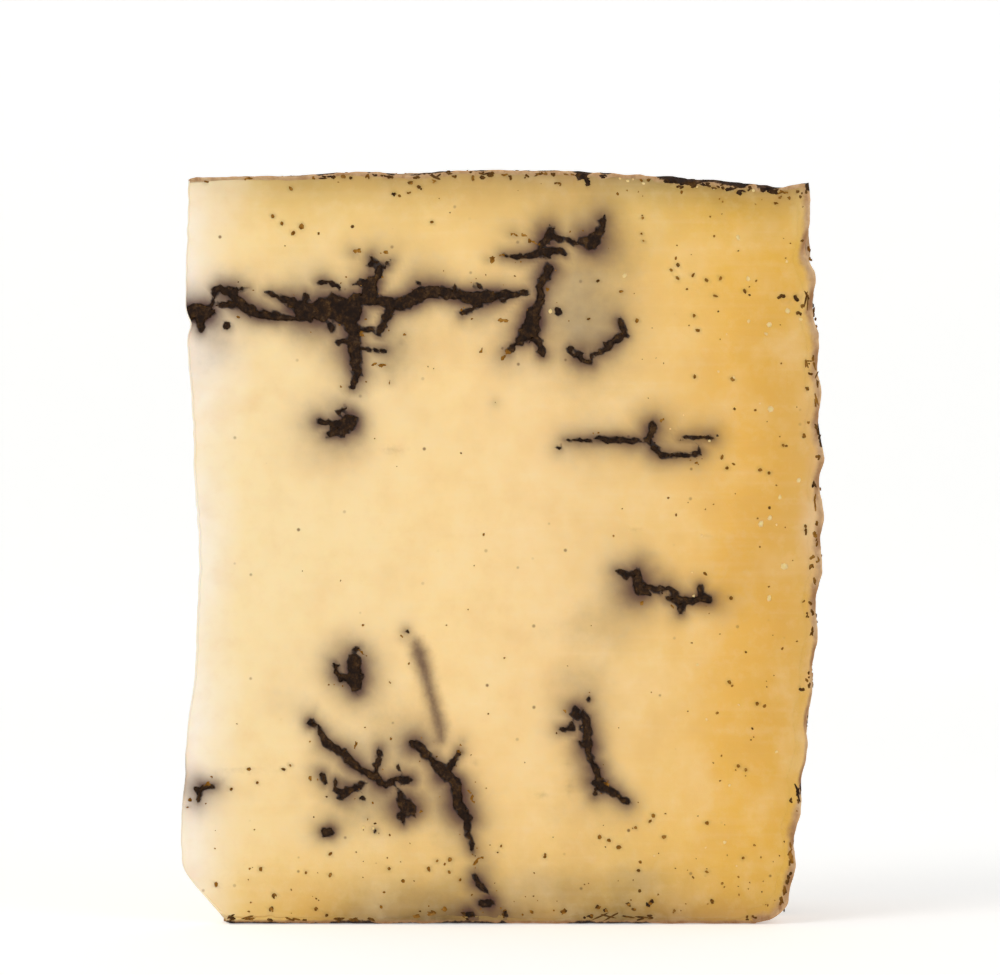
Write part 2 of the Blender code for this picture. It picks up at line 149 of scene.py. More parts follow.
# Veins of truffle paste on the front cut face, in mm: each stroke is a chain of points, and a
# point is a radius, a height and the vein's half-width there
VEINS = (
    # the hole at the tip edge
    ((2.7, 101.2, 1.2), (4.6, 101.0, 1.5), (5.6, 101.2, 0.8)),
    ((4.3, 100.0, 0.9), (4.1, 98.4, 0.5)),
    # the upper vein, from the tip edge
    ((6.3, 105.0, 0.35), (7.6, 105.0, 0.6), (9.2, 104.6, 0.7), (10.0, 103.2, 0.8),
     (11.8, 101.9, 0.75), (13.8, 100.9, 0.8), (16.5, 100.4, 0.6), (19.0, 100.1, 0.35),
     (21.0, 100.3, 0.6), (24.0, 101.2, 1.6)),
    ((7.0, 102.4, 0.3), (9.7, 102.6, 0.5)),
    ((6.3, 104.5, 0.3), (6.2, 103.0, 0.25), (5.7, 101.8, 0.4)),
    ((9.5, 104.9, 0.3), (12.0, 105.2, 0.15)),
    ((8.4, 98.9, 0.6),),
    ((14.6, 104.3, 0.15), (16.0, 104.1, 0.35), (17.8, 103.5, 0.5), (19.4, 102.6, 0.8),
     (20.6, 101.6, 1.4), (22.5, 101.3, 1.3), (24.5, 102.2, 1.4), (26.5, 102.0, 2.0),
     (28.5, 101.3, 2.3)),
    ((21.5, 104.1, 0.4), (21.2, 103.3, 0.3)),
    ((23.4, 106.2, 0.25), (24.3, 106.2, 0.45), (25.8, 105.9, 0.3), (26.8, 105.3, 0.2)),
    ((25.3, 99.0, 0.6), (26.0, 98.2, 0.4)),
    # its branch down
    ((28.8, 99.5, 1.1), (29.2, 97.0, 1.0), (29.4, 95.0, 1.0), (29.6, 93.0, 0.8),
     (30.0, 91.0, 0.7), (29.7, 89.5, 0.4), (29.2, 88.8, 0.4)),
    ((27.0, 96.4, 0.4), (28.5, 96.5, 0.5)),
    ((30.5, 95.0, 0.4), (31.8, 95.3, 0.3)),
    # and up
    ((32.3, 110.2, 0.4), (32.3, 108.8, 0.45)),
    ((33.0, 109.0, 0.4), (34.4, 108.8, 0.5), (35.6, 109.6, 0.2)),
    ((33.7, 108.4, 0.6), (33.4, 107.0, 0.4), (32.6, 106.2, 0.9), (32.2, 105.2, 1.2),
     (31.7, 103.8, 1.3)),
    ((29.2, 106.0, 0.25), (31.0, 106.2, 0.3)),
    # and its run to the right
    ((29.5, 103.4, 0.9), (32.0, 103.3, 0.8), (34.5, 102.9, 0.7), (36.5, 102.5, 1.0),
     (38.5, 103.0, 1.1), (40.5, 104.2, 1.1), (42.0, 104.6, 0.9), (44.5, 104.5, 0.8),
     (47.0, 103.8, 0.8), (50.0, 103.5, 1.1), (53.0, 103.9, 0.8), (55.5, 104.2, 0.5),
     (58.2, 104.7, 0.25)),
    ((40.2, 106.2, 0.3),),
    ((46.0, 105.3, 0.3),),
    ((50.0, 105.2, 0.5),),
    ((35.5, 101.6, 0.7), (34.5, 99.6, 0.5), (33.5, 97.7, 0.4)),
    ((50.5, 102.6, 0.4), (47.3, 100.9, 0.35)),
    ((54.2, 102.9, 0.4),),
    ((30.7, 98.3, 0.3), (32.3, 98.3, 0.3)),
    ((33.0, 95.0, 0.3), (34.5, 95.0, 0.3)),
    # the lump under it
    ((27.3, 82.2, 1.1), (28.6, 83.0, 1.4)),
    ((23.8, 83.0, 0.55), (25.5, 82.7, 0.4), (26.5, 82.4, 0.8)),
    ((25.3, 81.0, 0.5), (27.0, 81.6, 0.9)),
    ((27.1, 84.5, 0.4), (28.2, 85.4, 0.3)),
    # the tangle near the middle of the top
    ((54.0, 110.5, 0.25), (57.5, 110.5, 0.45), (59.0, 110.7, 0.5), (60.5, 111.4, 0.7),
     (62.0, 111.4, 0.7), (63.8, 111.4, 0.4), (64.3, 110.8, 0.3)),
    ((60.3, 112.5, 0.6), (61.5, 113.6, 0.8), (62.0, 114.9, 0.45), (61.9, 115.5, 0.2)),
    ((62.8, 113.8, 0.5), (63.8, 113.3, 0.3)),
    ((64.8, 113.2, 0.3), (66.5, 112.6, 0.5), (67.8, 113.0, 0.9), (68.6, 112.8, 1.2),
     (69.3, 113.8, 0.8), (70.2, 114.6, 0.5), (70.7, 115.5, 0.4), (70.4, 116.4, 0.5)),
    ((61.3, 111.0, 0.7), (61.5, 110.0, 0.3)),
    ((61.6, 108.3, 0.8), (60.6, 106.4, 0.7), (60.3, 104.5, 0.6), (60.2, 102.8, 0.5),
     (59.3, 101.4, 1.0), (58.9, 99.5, 1.4), (58.3, 97.8, 1.5), (57.0, 96.8, 0.7)),
    ((57.0, 96.6, 0.7), (55.8, 95.8, 0.4), (54.9, 94.7, 0.35)),
    ((59.4, 97.0, 0.6), (60.0, 95.6, 0.5), (60.5, 94.4, 0.55)),
    ((63.2, 101.3, 0.5),),
    # the hook to its right
    ((65.3, 95.1, 0.6),),
    ((66.6, 93.9, 0.6), (67.3, 93.3, 0.5), (68.6, 92.9, 0.4)),
    ((68.8, 94.0, 0.3), (70.4, 94.9, 0.4), (71.8, 96.0, 0.5), (73.2, 97.0, 0.5),
     (74.2, 97.5, 0.4), (73.7, 98.5, 0.5), (73.3, 99.5, 0.5)),
    # the fork
    ((63.5, 78.8, 0.4),),
    ((64.3, 80.0, 0.15), (67.0, 80.1, 0.3), (70.0, 80.2, 0.45), (73.0, 80.2, 0.45),
     (75.0, 79.9, 0.4), (77.5, 80.1, 0.4), (78.2, 80.3, 0.6)),
    ((78.3, 80.8, 0.6), (78.6, 82.0, 0.65), (79.0, 82.7, 0.5)),
    ((78.3, 79.9, 0.45), (78.9, 78.5, 0.4), (80.2, 77.7, 0.4), (83.0, 77.5, 0.3),
     (85.5, 77.6, 0.3), (86.4, 78.3, 0.4)),
    ((83.5, 80.2, 0.15), (86.0, 80.4, 0.25), (88.6, 80.4, 0.3), (89.3, 80.6, 0.1)),
    # the crumbly vein at the right
    ((73.2, 58.3, 0.3), (74.8, 57.6, 0.6), (75.6, 57.9, 0.5), (76.4, 58.3, 0.5)),
    ((76.2, 58.2, 0.6), (76.4, 56.7, 0.8), (76.7, 55.5, 1.0), (78.3, 54.6, 0.35)),
    ((78.0, 55.8, 0.3), (80.2, 55.3, 0.5), (81.5, 55.6, 0.3)),
    ((81.7, 55.4, 0.3), (82.7, 54.6, 0.4), (82.3, 53.9, 0.4)),
    ((81.2, 53.9, 0.3), (83.5, 53.5, 0.6), (85.5, 53.6, 0.5), (87.0, 53.8, 0.6),
     (88.2, 53.6, 0.5)),
    ((86.5, 54.6, 0.4), (86.7, 55.9, 0.35)),
    ((83.6, 52.9, 0.4), (83.5, 51.5, 0.35)),
    # the upright vein at the lower right
    ((68.2, 37.1, 0.5),),
    ((66.2, 35.2, 0.7), (66.4, 34.6, 0.6)),
    ((67.0, 35.5, 0.3), (67.8, 34.0, 0.5), (68.0, 32.5, 0.6), (68.0, 31.0, 0.7),
     (68.2, 29.5, 0.8), (68.4, 28.2, 0.6), (68.8, 27.0, 0.4), (69.4, 25.8, 0.6),
     (69.8, 24.8, 0.6), (70.0, 23.8, 0.6)),
    ((63.8, 32.2, 0.35), (65.3, 32.5, 0.5), (65.6, 33.5, 0.3)),
    ((66.6, 30.1, 0.35), (67.3, 29.7, 0.4)),
    ((69.3, 23.5, 0.6), (70.6, 22.8, 0.7), (71.4, 23.0, 0.4)),
    ((69.5, 22.4, 0.4), (69.3, 21.3, 0.35)),
    ((71.0, 22.5, 0.5), (72.5, 21.8, 0.5), (73.6, 20.9, 0.45), (74.6, 20.2, 0.4),
     (75.4, 19.9, 0.15)),
    # the lump and its arm at the lower left
    ((29.4, 44.2, 0.6), (29.6, 42.5, 1.1), (29.7, 40.5, 1.2), (29.9, 39.0, 0.8)),
    ((29.2, 45.3, 0.3), (30.2, 45.5, 0.3)),
    ((26.4, 43.0, 0.4), (26.6, 41.3, 0.5), (27.2, 40.5, 0.5), (28.3, 40.6, 0.6)),
    ((38.1, 48.4, 0.4),),
    # the vein that falls to the right
    ((22.3, 33.2, 0.6), (23.4, 32.8, 0.3), (24.0, 31.6, 0.45), (24.7, 30.2, 0.5),
     (26.3, 29.1, 0.5), (27.8, 28.2, 0.55), (29.2, 26.5, 0.7), (30.8, 25.4, 0.6),
     (32.5, 24.5, 0.6), (33.7, 23.5, 0.7), (34.6, 23.0, 0.6), (36.0, 23.8, 0.5),
     (37.8, 24.0, 0.5), (38.8, 23.9, 0.5), (39.2, 24.3, 0.2)),
    ((33.0, 24.8, 0.4), (33.3, 26.5, 0.35), (33.7, 28.9, 0.3)),
    ((36.8, 25.9, 0.4),),
    # the ring under it
    ((26.5, 23.6, 0.4), (26.6, 22.2, 0.4), (27.7, 21.6, 0.6), (29.0, 22.4, 0.5),
     (30.3, 23.0, 0.35), (31.3, 23.6, 0.25)),
    ((27.4, 20.8, 0.5),),
    ((24.7, 15.2, 0.6), (25.4, 15.3, 0.7)),
    ((30.7, 20.7, 0.35),),
    ((33.0, 15.5, 0.3),),
    ((24.2, 24.7, 0.4), (24.6, 23.2, 0.2)),
    # the small lump beside it
    ((37.2, 22.0, 0.3), (37.0, 20.4, 0.5), (38.0, 19.3, 1.2), (38.9, 19.0, 0.8)),
    ((37.2, 18.0, 0.6), (37.6, 16.8, 0.4)),
    ((39.2, 18.3, 0.4),),
    # the long vein that falls to the base
    ((38.6, 30.0, 0.4), (39.5, 29.6, 0.7), (40.3, 29.2, 0.6), (41.0, 28.0, 0.4),
     (42.2, 27.3, 0.5), (43.2, 26.1, 0.6), (44.2, 24.8, 0.9), (45.3, 24.4, 0.7),
     (46.3, 23.3, 0.8), (46.6, 21.5, 0.9), (46.8, 19.5, 0.9), (47.6, 18.2, 0.8),
     (48.2, 17.5, 0.7), (48.2, 15.8, 0.4), (48.5, 14.0, 0.35), (49.0, 12.2, 0.3),
     (49.4, 11.6, 0.1)),
    ((46.9, 28.5, 0.35), (46.2, 27.4, 0.3), (45.4, 25.8, 0.5), (45.0, 24.9, 0.5)),
    ((49.5, 8.0, 0.4), (49.8, 7.0, 0.6), (50.8, 6.0, 0.5), (51.3, 5.5, 0.3)),
    ((51.7, 3.6, 0.8), (50.4, 3.4, 0.5)),
    ((48.5, 1.7, 0.6), (49.3, 1.3, 0.3)),
    ((54.3, 1.7, 0.45),),
    # the short vein at the left
    ((3.3, 22.3, 0.35), (4.2, 22.6, 0.5), (5.2, 22.7, 0.4), (6.4, 22.8, 0.3)),
    ((3.9, 22.0, 0.45), (3.8, 21.2, 0.3), (3.6, 20.3, 0.2)),
)

# Thinner strokes where the paste has soaked away and left the cheese olive brown
BROWN_VEINS = (
    ((29.5, 111.0, 0.55), (30.3, 111.3, 0.3)),
    ((34.6, 110.9, 0.5),),
    ((32.6, 92.4, 0.2), (34.8, 92.5, 0.2)),
    ((53.2, 99.8, 0.25), (54.6, 99.8, 0.25)),
    ((51.6, 109.9, 0.25), (54.0, 110.5, 0.25)),
    ((55.8, 114.1, 0.45), (57.3, 113.8, 0.25), (58.8, 112.8, 0.3), (60.0, 112.5, 0.3)),
    ((54.9, 94.7, 0.3), (54.0, 93.4, 0.25)),
    ((79.6, 84.2, 0.35), (80.4, 83.4, 0.25)),
    ((84.8, 76.6, 0.25), (86.2, 76.5, 0.35)),
    ((82.0, 52.6, 0.5),),
    ((76.9, 53.2, 0.4),),
    ((85.0, 50.8, 0.35),),
    ((64.4, 35.4, 0.35),),
    ((71.4, 23.1, 0.4), (72.2, 23.4, 0.3)),
    ((30.2, 45.3, 0.25), (31.3, 44.4, 0.3)),
    ((37.4, 47.3, 0.35),),
    ((35.2, 40.0, 0.3),),
    ((35.2, 30.4, 0.4),),
    ((29.8, 29.7, 0.5),),
    ((31.8, 17.6, 0.3),),
    ((22.2, 24.2, 0.35),),
    ((35.3, 20.8, 0.3),),
    ((40.7, 18.6, 0.4),),
    ((47.3, 30.3, 0.3), (46.9, 28.5, 0.3)),
    ((48.6, 22.3, 0.2), (49.2, 20.5, 0.25), (49.5, 19.8, 0.2)),
    ((49.7, 23.5, 0.25),),
    ((49.4, 26.7, 0.25),),
    ((50.3, 10.9, 0.3), (49.6, 10.0, 0.25)),
    ((4.6, 23.0, 0.25), (5.8, 24.0, 0.25), (6.4, 24.6, 0.1)),
    ((35.3, 89.7, 0.3),),
    ((50.6, 94.8, 0.3),),
    ((52.8, 86.3, 0.3),),
    ((37.8, 97.5, 0.3),),
    ((37.3, 96.2, 0.25),),
    ((27.4, 89.2, 0.3),),
    ((30.7, 97.4, 0.3),),
)

# A vein that lies just under the front face: a soft violet streak
BURIED_VEIN = (
    ((39.7, 46.4, 0.4), (40.2, 44.8, 0.9), (41.0, 42.3, 0.8), (42.0, 38.5, 0.5),
     (43.0, 35.0, 0.5), (43.7, 32.5, 0.5), (43.8, 30.5, 0.3)),
)

# Where truffle juice has stained the front face grey: radius, height, reach across, reach up
# and strength
GREY_STAINS = (
    (67.5, 101.0, 9.5, 12.5, 0.62), (62.0, 112.8, 2.8, 2.2, 0.5), (36.0, 95.5, 5.0, 6.5, 0.55),
    (37.2, 92.8, 1.8, 1.8, 0.35), (31.5, 99.0, 4.0, 4.0, 0.3), (7.6, 103.4, 1.3, 1.0, 0.8),
    (18.4, 101.5, 1.6, 0.9, 0.7), (76.0, 79.5, 10.0, 3.2, 0.42), (60.5, 99.5, 2.2, 3.5, 0.6),
    (68.6, 111.4, 1.5, 1.5, 0.6), (31.0, 20.5, 8.0, 6.5, 0.5), (36.0, 30.0, 8.0, 9.0, 0.42),
    (27.9, 23.2, 1.3, 1.1, 0.8), (45.0, 19.0, 5.0, 9.0, 0.45), (66.5, 33.3, 1.2, 1.2, 0.8),
    (67.0, 39.0, 6.5, 6.0, 0.42), (68.5, 27.0, 4.0, 7.5, 0.42), (79.5, 56.0, 7.0, 3.5, 0.35),
    (29.0, 84.5, 4.0, 4.5, 0.25), (31.0, 88.0, 2.0, 2.5, 0.35), (28.5, 41.0, 3.5, 4.5, 0.25),
    (72.8, 98.7, 1.4, 1.2, 0.5), (50.5, 8.0, 3.5, 6.0, 0.4), (62.0, 6.0, 12.0, 4.5, 0.36),
    (76.0, 7.0, 9.0, 4.0, 0.36), (40.0, 4.5, 9.0, 4.0, 0.3), (66.0, 19.0, 7.0, 6.0, 0.22),
    (69.5, 49.0, 7.0, 6.0, 0.36), (78.0, 61.0, 2.5, 1.2, 0.25), (61.0, 48.0, 4.0, 3.0, 0.15),
)

# Olive-brown clouds of fine paste, given in the same way
OLIVE_STAINS = (
    (60.5, 21.3, 1.4, 0.7, 0.4), (65.1, 22.6, 1.0, 1.6, 0.4), (64.8, 26.5, 1.0, 0.8, 0.3),
    (11.0, 25.4, 4.5, 0.5, 0.35), (6.3, 23.6, 2.5, 1.2, 0.3), (36.0, 78.4, 2.6, 0.9, 0.35),
    (59.0, 66.0, 2.0, 0.8, 0.1), (76.0, 65.2, 1.4, 0.5, 0.3), (88.2, 64.3, 1.3, 0.45, 0.3),
    (86.5, 105.5, 5.0, 2.5, 0.15), (102.0, 103.2, 2.0, 1.4, 0.3), (12.0, 8.0, 8.0, 5.0, 0.12),
    (30.0, 5.0, 12.0, 3.0, 0.15), (72.0, 14.0, 6.0, 3.0, 0.15),
)

# Shallow pits that the curd left in the front face: radius, height, reach across, reach up, depth
PITS = (
    (35.9, 78.4, 2.4, 0.9, 0.25), (76.1, 65.2, 1.4, 0.7, 0.3), (88.2, 64.3, 1.3, 0.6, 0.3),
    (70.0, 33.6, 1.6, 0.5, 0.2), (79.2, 46.8, 1.5, 0.7, 0.2), (70.5, 44.2, 1.4, 0.6, 0.2),
    (63.5, 64.7, 2.3, 0.9, 0.15), (45.0, 62.0, 2.0, 0.8, 0.1), (20.0, 55.0, 2.5, 1.0, 0.1),
)

# Single specks of truffle on the front face: radius, height and half-width
SPECKS = (
    (12.0, 25.6, 0.35), (17.8, 25.6, 0.40), (18.9, 26.2, 0.30), (13.4, 23.4, 0.30),
    (9.1, 22.3, 0.30), (2.3, 20.5, 0.40), (1.9, 19.3, 0.25), (14.0, 9.1, 0.35), (6.6, 6.5, 0.40),
    (16.4, 4.8, 0.35), (15.7, 2.5, 0.40), (21.5, 8.5, 0.25), (41.8, 9.1, 0.45), (45.2, 8.6, 0.35),
    (45.3, 10.6, 0.45), (43.2, 10.4, 0.30), (47.0, 7.3, 0.35), (44.4, 2.5, 0.40),
    (53.8, 12.9, 0.30), (53.2, 11.8, 0.20), (61.0, 11.1, 0.30), (71.6, 13.8, 0.40),
    (73.2, 12.7, 0.40), (70.2, 14.3, 0.30), (76.5, 8.8, 0.40), (76.0, 15.9, 0.30),
    (69.9, 2.7, 0.35), (71.1, 2.2, 0.40), (74.9, 3.2, 0.40), (75.8, 2.4, 0.35), (64.1, 2.0, 0.50),
    (58.8, 2.0, 0.30), (68.7, 1.3, 0.45), (69.8, 106.4, 0.30), (73.6, 104.6, 0.35),
    (76.3, 99.8, 0.50), (68.3, 100.1, 0.30), (77.0, 114.2, 0.25), (77.3, 113.0, 0.25),
    (77.2, 116.8, 0.30), (19.0, 121.6, 0.35), (20.7, 115.4, 0.50),
    (17.5, 115.9, 0.35), (16.0, 117.1, 0.35), (19.4, 114.3, 0.35), (36.1, 120.7, 0.35),
    (38.9, 122.6, 0.35), (40.2, 121.9, 0.35), (42.3, 116.1, 0.35), (83.0, 109.0, 0.35),
    (81.9, 108.2, 0.35), (83.0, 106.8, 0.35), (85.5, 107.3, 0.35), (87.7, 106.5, 0.35),
    (90.1, 106.8, 0.35), (89.2, 103.9, 0.35), (94.1, 104.7, 0.35), (85.7, 100.6, 0.35),
    (86.3, 98.2, 0.35), (85.8, 90.5, 0.35), (92.0, 90.1, 0.35), (90.3, 77.2, 0.35),
    (91.1, 75.4, 0.35),
    (96.6, 75.1, 0.35), (98.1, 74.6, 0.35), (100.4, 79.2, 0.35), (103.9, 80.9, 0.35),
    (104.4, 88.5, 0.35), (91.8, 53.9, 0.35), (78.4, 17.0, 0.35), (70.1, 14.4, 0.35),
    (78.9, 17.9, 0.35), (80.7, 14.4, 0.35), (87.8, 16.7, 0.35), (93.8, 10.9, 0.35),
    (87.8, 8.6, 0.35), (78.6, 3.6, 0.50), (88.7, 3.8, 0.35), (96.1, 36.4, 0.35), (93.0, 26.1, 0.35),
    (94.3, 25.5, 0.35), (91.5, 40.0, 0.35), (25.5, 8.1, 0.35), (25.5, 11.6, 0.35),
    (35.2, 9.1, 0.35), (33.9, 2.8, 0.35),
)

# Bits of truffle along the edges of the front face: radius, height, half-width, half-height and
# tone, from 0 for nearly black to 1 for pale brown
EDGE_BITS = (
    (4.8, 122.7, 0.45, 0.18, 0.90), (11.9, 123.7, 0.60, 0.18, 0.90),
    (24.8, 124.1, 0.89, 0.27, 0.15), (26.0, 123.7, 0.45, 0.30, 0.30),
    (22.7, 123.6, 0.30, 0.30, 0.80), (27.6, 123.6, 0.37, 0.37, 0.60),
    (28.8, 123.4, 0.30, 0.27, 0.30), (31.8, 123.9, 0.30, 0.52, 0.50),
    (32.7, 124.9, 0.45, 0.22, 0.10), (35.4, 124.0, 0.60, 0.45, 0.25),
    (34.6, 124.4, 0.45, 0.22, 0.30), (39.9, 124.4, 0.60, 0.30, 0.30),
    (38.9, 122.7, 0.45, 0.37, 0.35), (40.2, 121.9, 0.30, 0.37, 0.35),
    (38.4, 120.9, 0.30, 0.22, 0.60), (36.1, 120.7, 0.33, 0.33, 0.10),
    (42.7, 122.9, 0.45, 0.22, 0.80), (43.3, 124.4, 1.19, 0.27, 0.25),
    (45.0, 124.5, 0.60, 0.18, 0.30), (46.0, 123.6, 0.37, 0.30, 0.40),
    (48.8, 124.7, 0.37, 0.22, 0.30), (49.1, 123.5, 0.30, 0.45, 0.70),
    (50.9, 124.6, 0.74, 0.22, 0.35), (51.6, 123.8, 0.52, 0.60, 0.35),
    (52.3, 124.2, 0.45, 0.30, 0.40), (55.1, 123.5, 0.37, 0.37, 0.50),
    (54.4, 124.0, 0.45, 0.22, 0.70), (57.9, 123.7, 0.30, 0.30, 0.40),
    (59.9, 124.7, 0.89, 0.27, 0.40), (62.4, 124.4, 0.45, 0.37, 0.35),
    (61.0, 124.7, 0.60, 0.18, 0.50), (63.2, 122.6, 0.60, 0.18, 0.50),
    (65.3, 124.2, 0.74, 0.19, 0.50), (67.6, 123.8, 1.04, 0.37, 0.00),
    (68.0, 123.1, 0.60, 0.60, 0.00), (68.1, 122.2, 0.30, 0.45, 0.05),
    (66.5, 124.1, 0.60, 0.27, 0.10), (71.5, 124.0, 0.89, 0.27, 0.00),
    (78.4, 123.1, 0.45, 0.30, 0.50), (76.9, 122.9, 0.30, 0.22, 0.80),
    (81.4, 123.5, 0.89, 0.33, 0.05), (82.7, 122.9, 0.74, 0.45, 0.05),
    (84.2, 122.6, 0.89, 0.45, 0.10), (85.7, 122.4, 0.74, 0.45, 0.15),
    (83.5, 121.9, 0.45, 0.22, 0.35), (86.7, 122.4, 0.74, 0.24, 0.10),
    (88.2, 122.2, 0.60, 0.37, 0.20), (89.5, 121.9, 0.60, 0.37, 0.25),
    (90.6, 121.8, 0.45, 0.37, 0.25), (92.1, 121.6, 0.74, 0.42, 0.10),
    (93.6, 121.3, 0.89, 0.42, 0.10), (94.8, 121.6, 0.45, 0.30, 0.25),
    (93.0, 122.0, 0.89, 0.18, 0.15), (97.4, 121.8, 0.74, 0.45, 0.10),
    (98.7, 121.6, 0.89, 0.39, 0.10), (97.9, 122.2, 0.45, 0.22, 0.00),
    (102.9, 121.1, 0.45, 0.30, 0.40), (103.4, 120.5, 0.22, 0.37, 0.35),
    (100.7, 121.1, 0.74, 0.15, 0.70), (105.4, 121.9, 0.27, 0.60, 0.10),
    (105.0, 121.1, 0.30, 0.30, 0.25), (99.2, 119.3, 0.45, 0.22, 0.75),
    (101.4, 120.1, 0.30, 0.22, 0.70), (99.9, 120.2, 0.37, 0.18, 0.65),
    (104.4, 113.0, 0.37, 0.27, 0.40), (105.0, 110.0, 0.22, 0.37, 0.55),
    (100.4, 103.8, 0.52, 0.45, 0.35), (102.7, 103.7, 0.60, 0.60, 0.20),
    (103.1, 100.9, 0.37, 0.45, 0.35), (104.3, 103.4, 0.22, 1.71, 0.40),
    (103.7, 102.2, 0.33, 0.45, 0.50), (104.2, 92.5, 0.22, 0.89, 0.60),
    (104.7, 93.1, 0.45, 0.22, 0.60), (105.7, 93.5, 0.30, 0.37, 0.50),
    (106.0, 92.1, 0.22, 0.60, 0.50), (104.4, 88.7, 0.30, 0.30, 0.50),
    (105.0, 91.0, 0.37, 0.30, 0.50), (106.2, 90.1, 0.22, 0.89, 0.45),
    (106.4, 86.3, 0.22, 1.19, 0.65), (106.5, 82.2, 0.27, 0.60, 0.40),
    (106.8, 80.7, 0.27, 0.89, 0.25), (107.2, 79.4, 0.22, 0.45, 0.20),
    (103.9, 80.8, 0.33, 0.30, 0.55), (104.4, 82.9, 0.30, 0.18, 0.75),
    (100.6, 79.2, 0.33, 0.15, 0.60), (106.4, 77.2, 0.37, 0.45, 0.45),
    (105.5, 72.6, 0.33, 0.74, 0.15), (105.7, 70.1, 0.22, 1.34, 0.60),
    (104.0, 65.3, 0.30, 0.52, 0.45), (106.2, 66.3, 0.30, 0.37, 0.50),
    (105.9, 64.3, 0.45, 0.60, 0.60), (106.5, 63.0, 0.22, 0.45, 0.50),
    (105.2, 60.5, 0.45, 0.45, 0.55), (106.2, 60.0, 0.30, 0.45, 0.55),
    (105.2, 59.2, 0.37, 0.52, 0.50), (106.2, 56.4, 0.30, 0.60, 0.45),
    (103.9, 53.3, 0.30, 0.22, 0.65), (105.0, 53.1, 0.30, 0.37, 0.50),
    (105.7, 51.4, 0.30, 0.52, 0.35), (104.5, 50.9, 0.22, 0.45, 0.50),
    (105.2, 48.0, 0.27, 0.67, 0.50), (105.2, 41.2, 0.27, 0.37, 0.50),
    (105.2, 39.5, 0.27, 0.45, 0.40), (103.5, 38.9, 0.37, 0.52, 0.25),
    (104.2, 40.5, 0.22, 0.37, 0.70), (103.2, 22.3, 0.27, 1.64, 0.05),
    (102.9, 20.3, 0.30, 0.30, 0.40), (101.7, 20.2, 0.30, 0.37, 0.35),
    (101.7, 12.2, 0.37, 1.49, 0.85), (101.6, 10.1, 0.22, 0.52, 0.50),
    (102.1, 8.3, 0.33, 0.52, 0.30), (101.2, 7.1, 0.37, 0.52, 0.30), (100.6, 5.6, 0.30, 0.89, 0.60),
    (100.1, 3.8, 0.30, 0.89, 0.70), (8.1, 1.1, 0.89, 0.27, 0.20), (9.4, 0.7, 0.74, 0.24, 0.35),
    (15.5, 0.7, 0.52, 0.30, 0.30), (12.2, 0.5, 1.49, 0.18, 0.55), (18.9, 0.4, 1.34, 0.16, 0.60),
    (16.2, 4.9, 0.33, 0.45, 0.30), (15.7, 2.4, 0.30, 0.42, 0.40), (23.0, 2.5, 0.37, 0.30, 0.60),
    (24.8, 1.4, 0.30, 0.37, 0.30), (21.3, 0.6, 0.30, 0.22, 0.50), (27.5, 0.8, 0.89, 0.37, 0.45),
    (29.8, 0.7, 1.04, 0.37, 0.40), (32.1, 0.6, 0.89, 0.30, 0.35), (39.2, 1.4, 0.74, 0.27, 0.60),
    (42.3, 1.7, 0.89, 0.33, 0.60), (47.5, 1.5, 0.45, 0.37, 0.30), (48.8, 1.1, 0.60, 0.37, 0.15),
    (54.3, 1.2, 0.37, 0.45, 0.30), (54.4, 2.3, 0.30, 0.30, 0.50), (64.0, 2.1, 0.45, 0.27, 0.35),
    (58.7, 1.9, 0.22, 0.30, 0.50), (68.3, 1.2, 0.60, 0.27, 0.10), (70.1, 0.8, 1.79, 0.16, 0.30),
    (76.7, 0.9, 1.79, 0.16, 0.30), (78.6, 1.2, 0.60, 0.24, 0.35), (69.8, 2.5, 0.27, 0.37, 0.30),
    (71.1, 2.3, 0.33, 0.33, 0.10), (74.9, 3.3, 0.33, 0.27, 0.30), (75.8, 2.3, 0.37, 0.27, 0.35),
    (78.2, 3.3, 0.37, 0.30, 0.05), (78.9, 3.8, 0.37, 0.30, 0.05), (82.5, 2.1, 0.27, 0.27, 0.60),
    (88.7, 3.7, 0.37, 0.30, 0.45), (94.4, 1.0, 0.45, 0.30, 0.35), (95.9, 1.1, 0.45, 0.27, 0.35),
)

# Pale crystals near the rind: radius, height and half-width
CRYSTALS = (
    (94.6, 106.7, 0.40), (98.2, 99.2, 0.45), (97.6, 97.6, 0.35), (98.4, 85.2, 0.50),
    (99.9, 70.6, 0.40), (98.2, 67.2, 0.45), (96.8, 66.2, 0.50), (100.6, 59.2, 0.65),
    (98.1, 53.9, 0.50), (103.0, 73.4, 0.45), (93.0, 113.6, 0.45), (74.2, 107.2, 0.45),
    (31.0, 16.0, 0.35), (32.6, 15.8, 0.30), (61.9, 101.4, 0.35), (101.2, 101.4, 0.50),
    (103.4, 100.0, 0.35), (73.4, 123.3, 0.22), (74.7, 122.9, 0.30), (75.6, 123.2, 0.18),
    (77.3, 122.5, 0.26), (89.0, 121.6, 0.20), (95.5, 121.3, 0.28), (86.2, 121.9, 0.18),
)

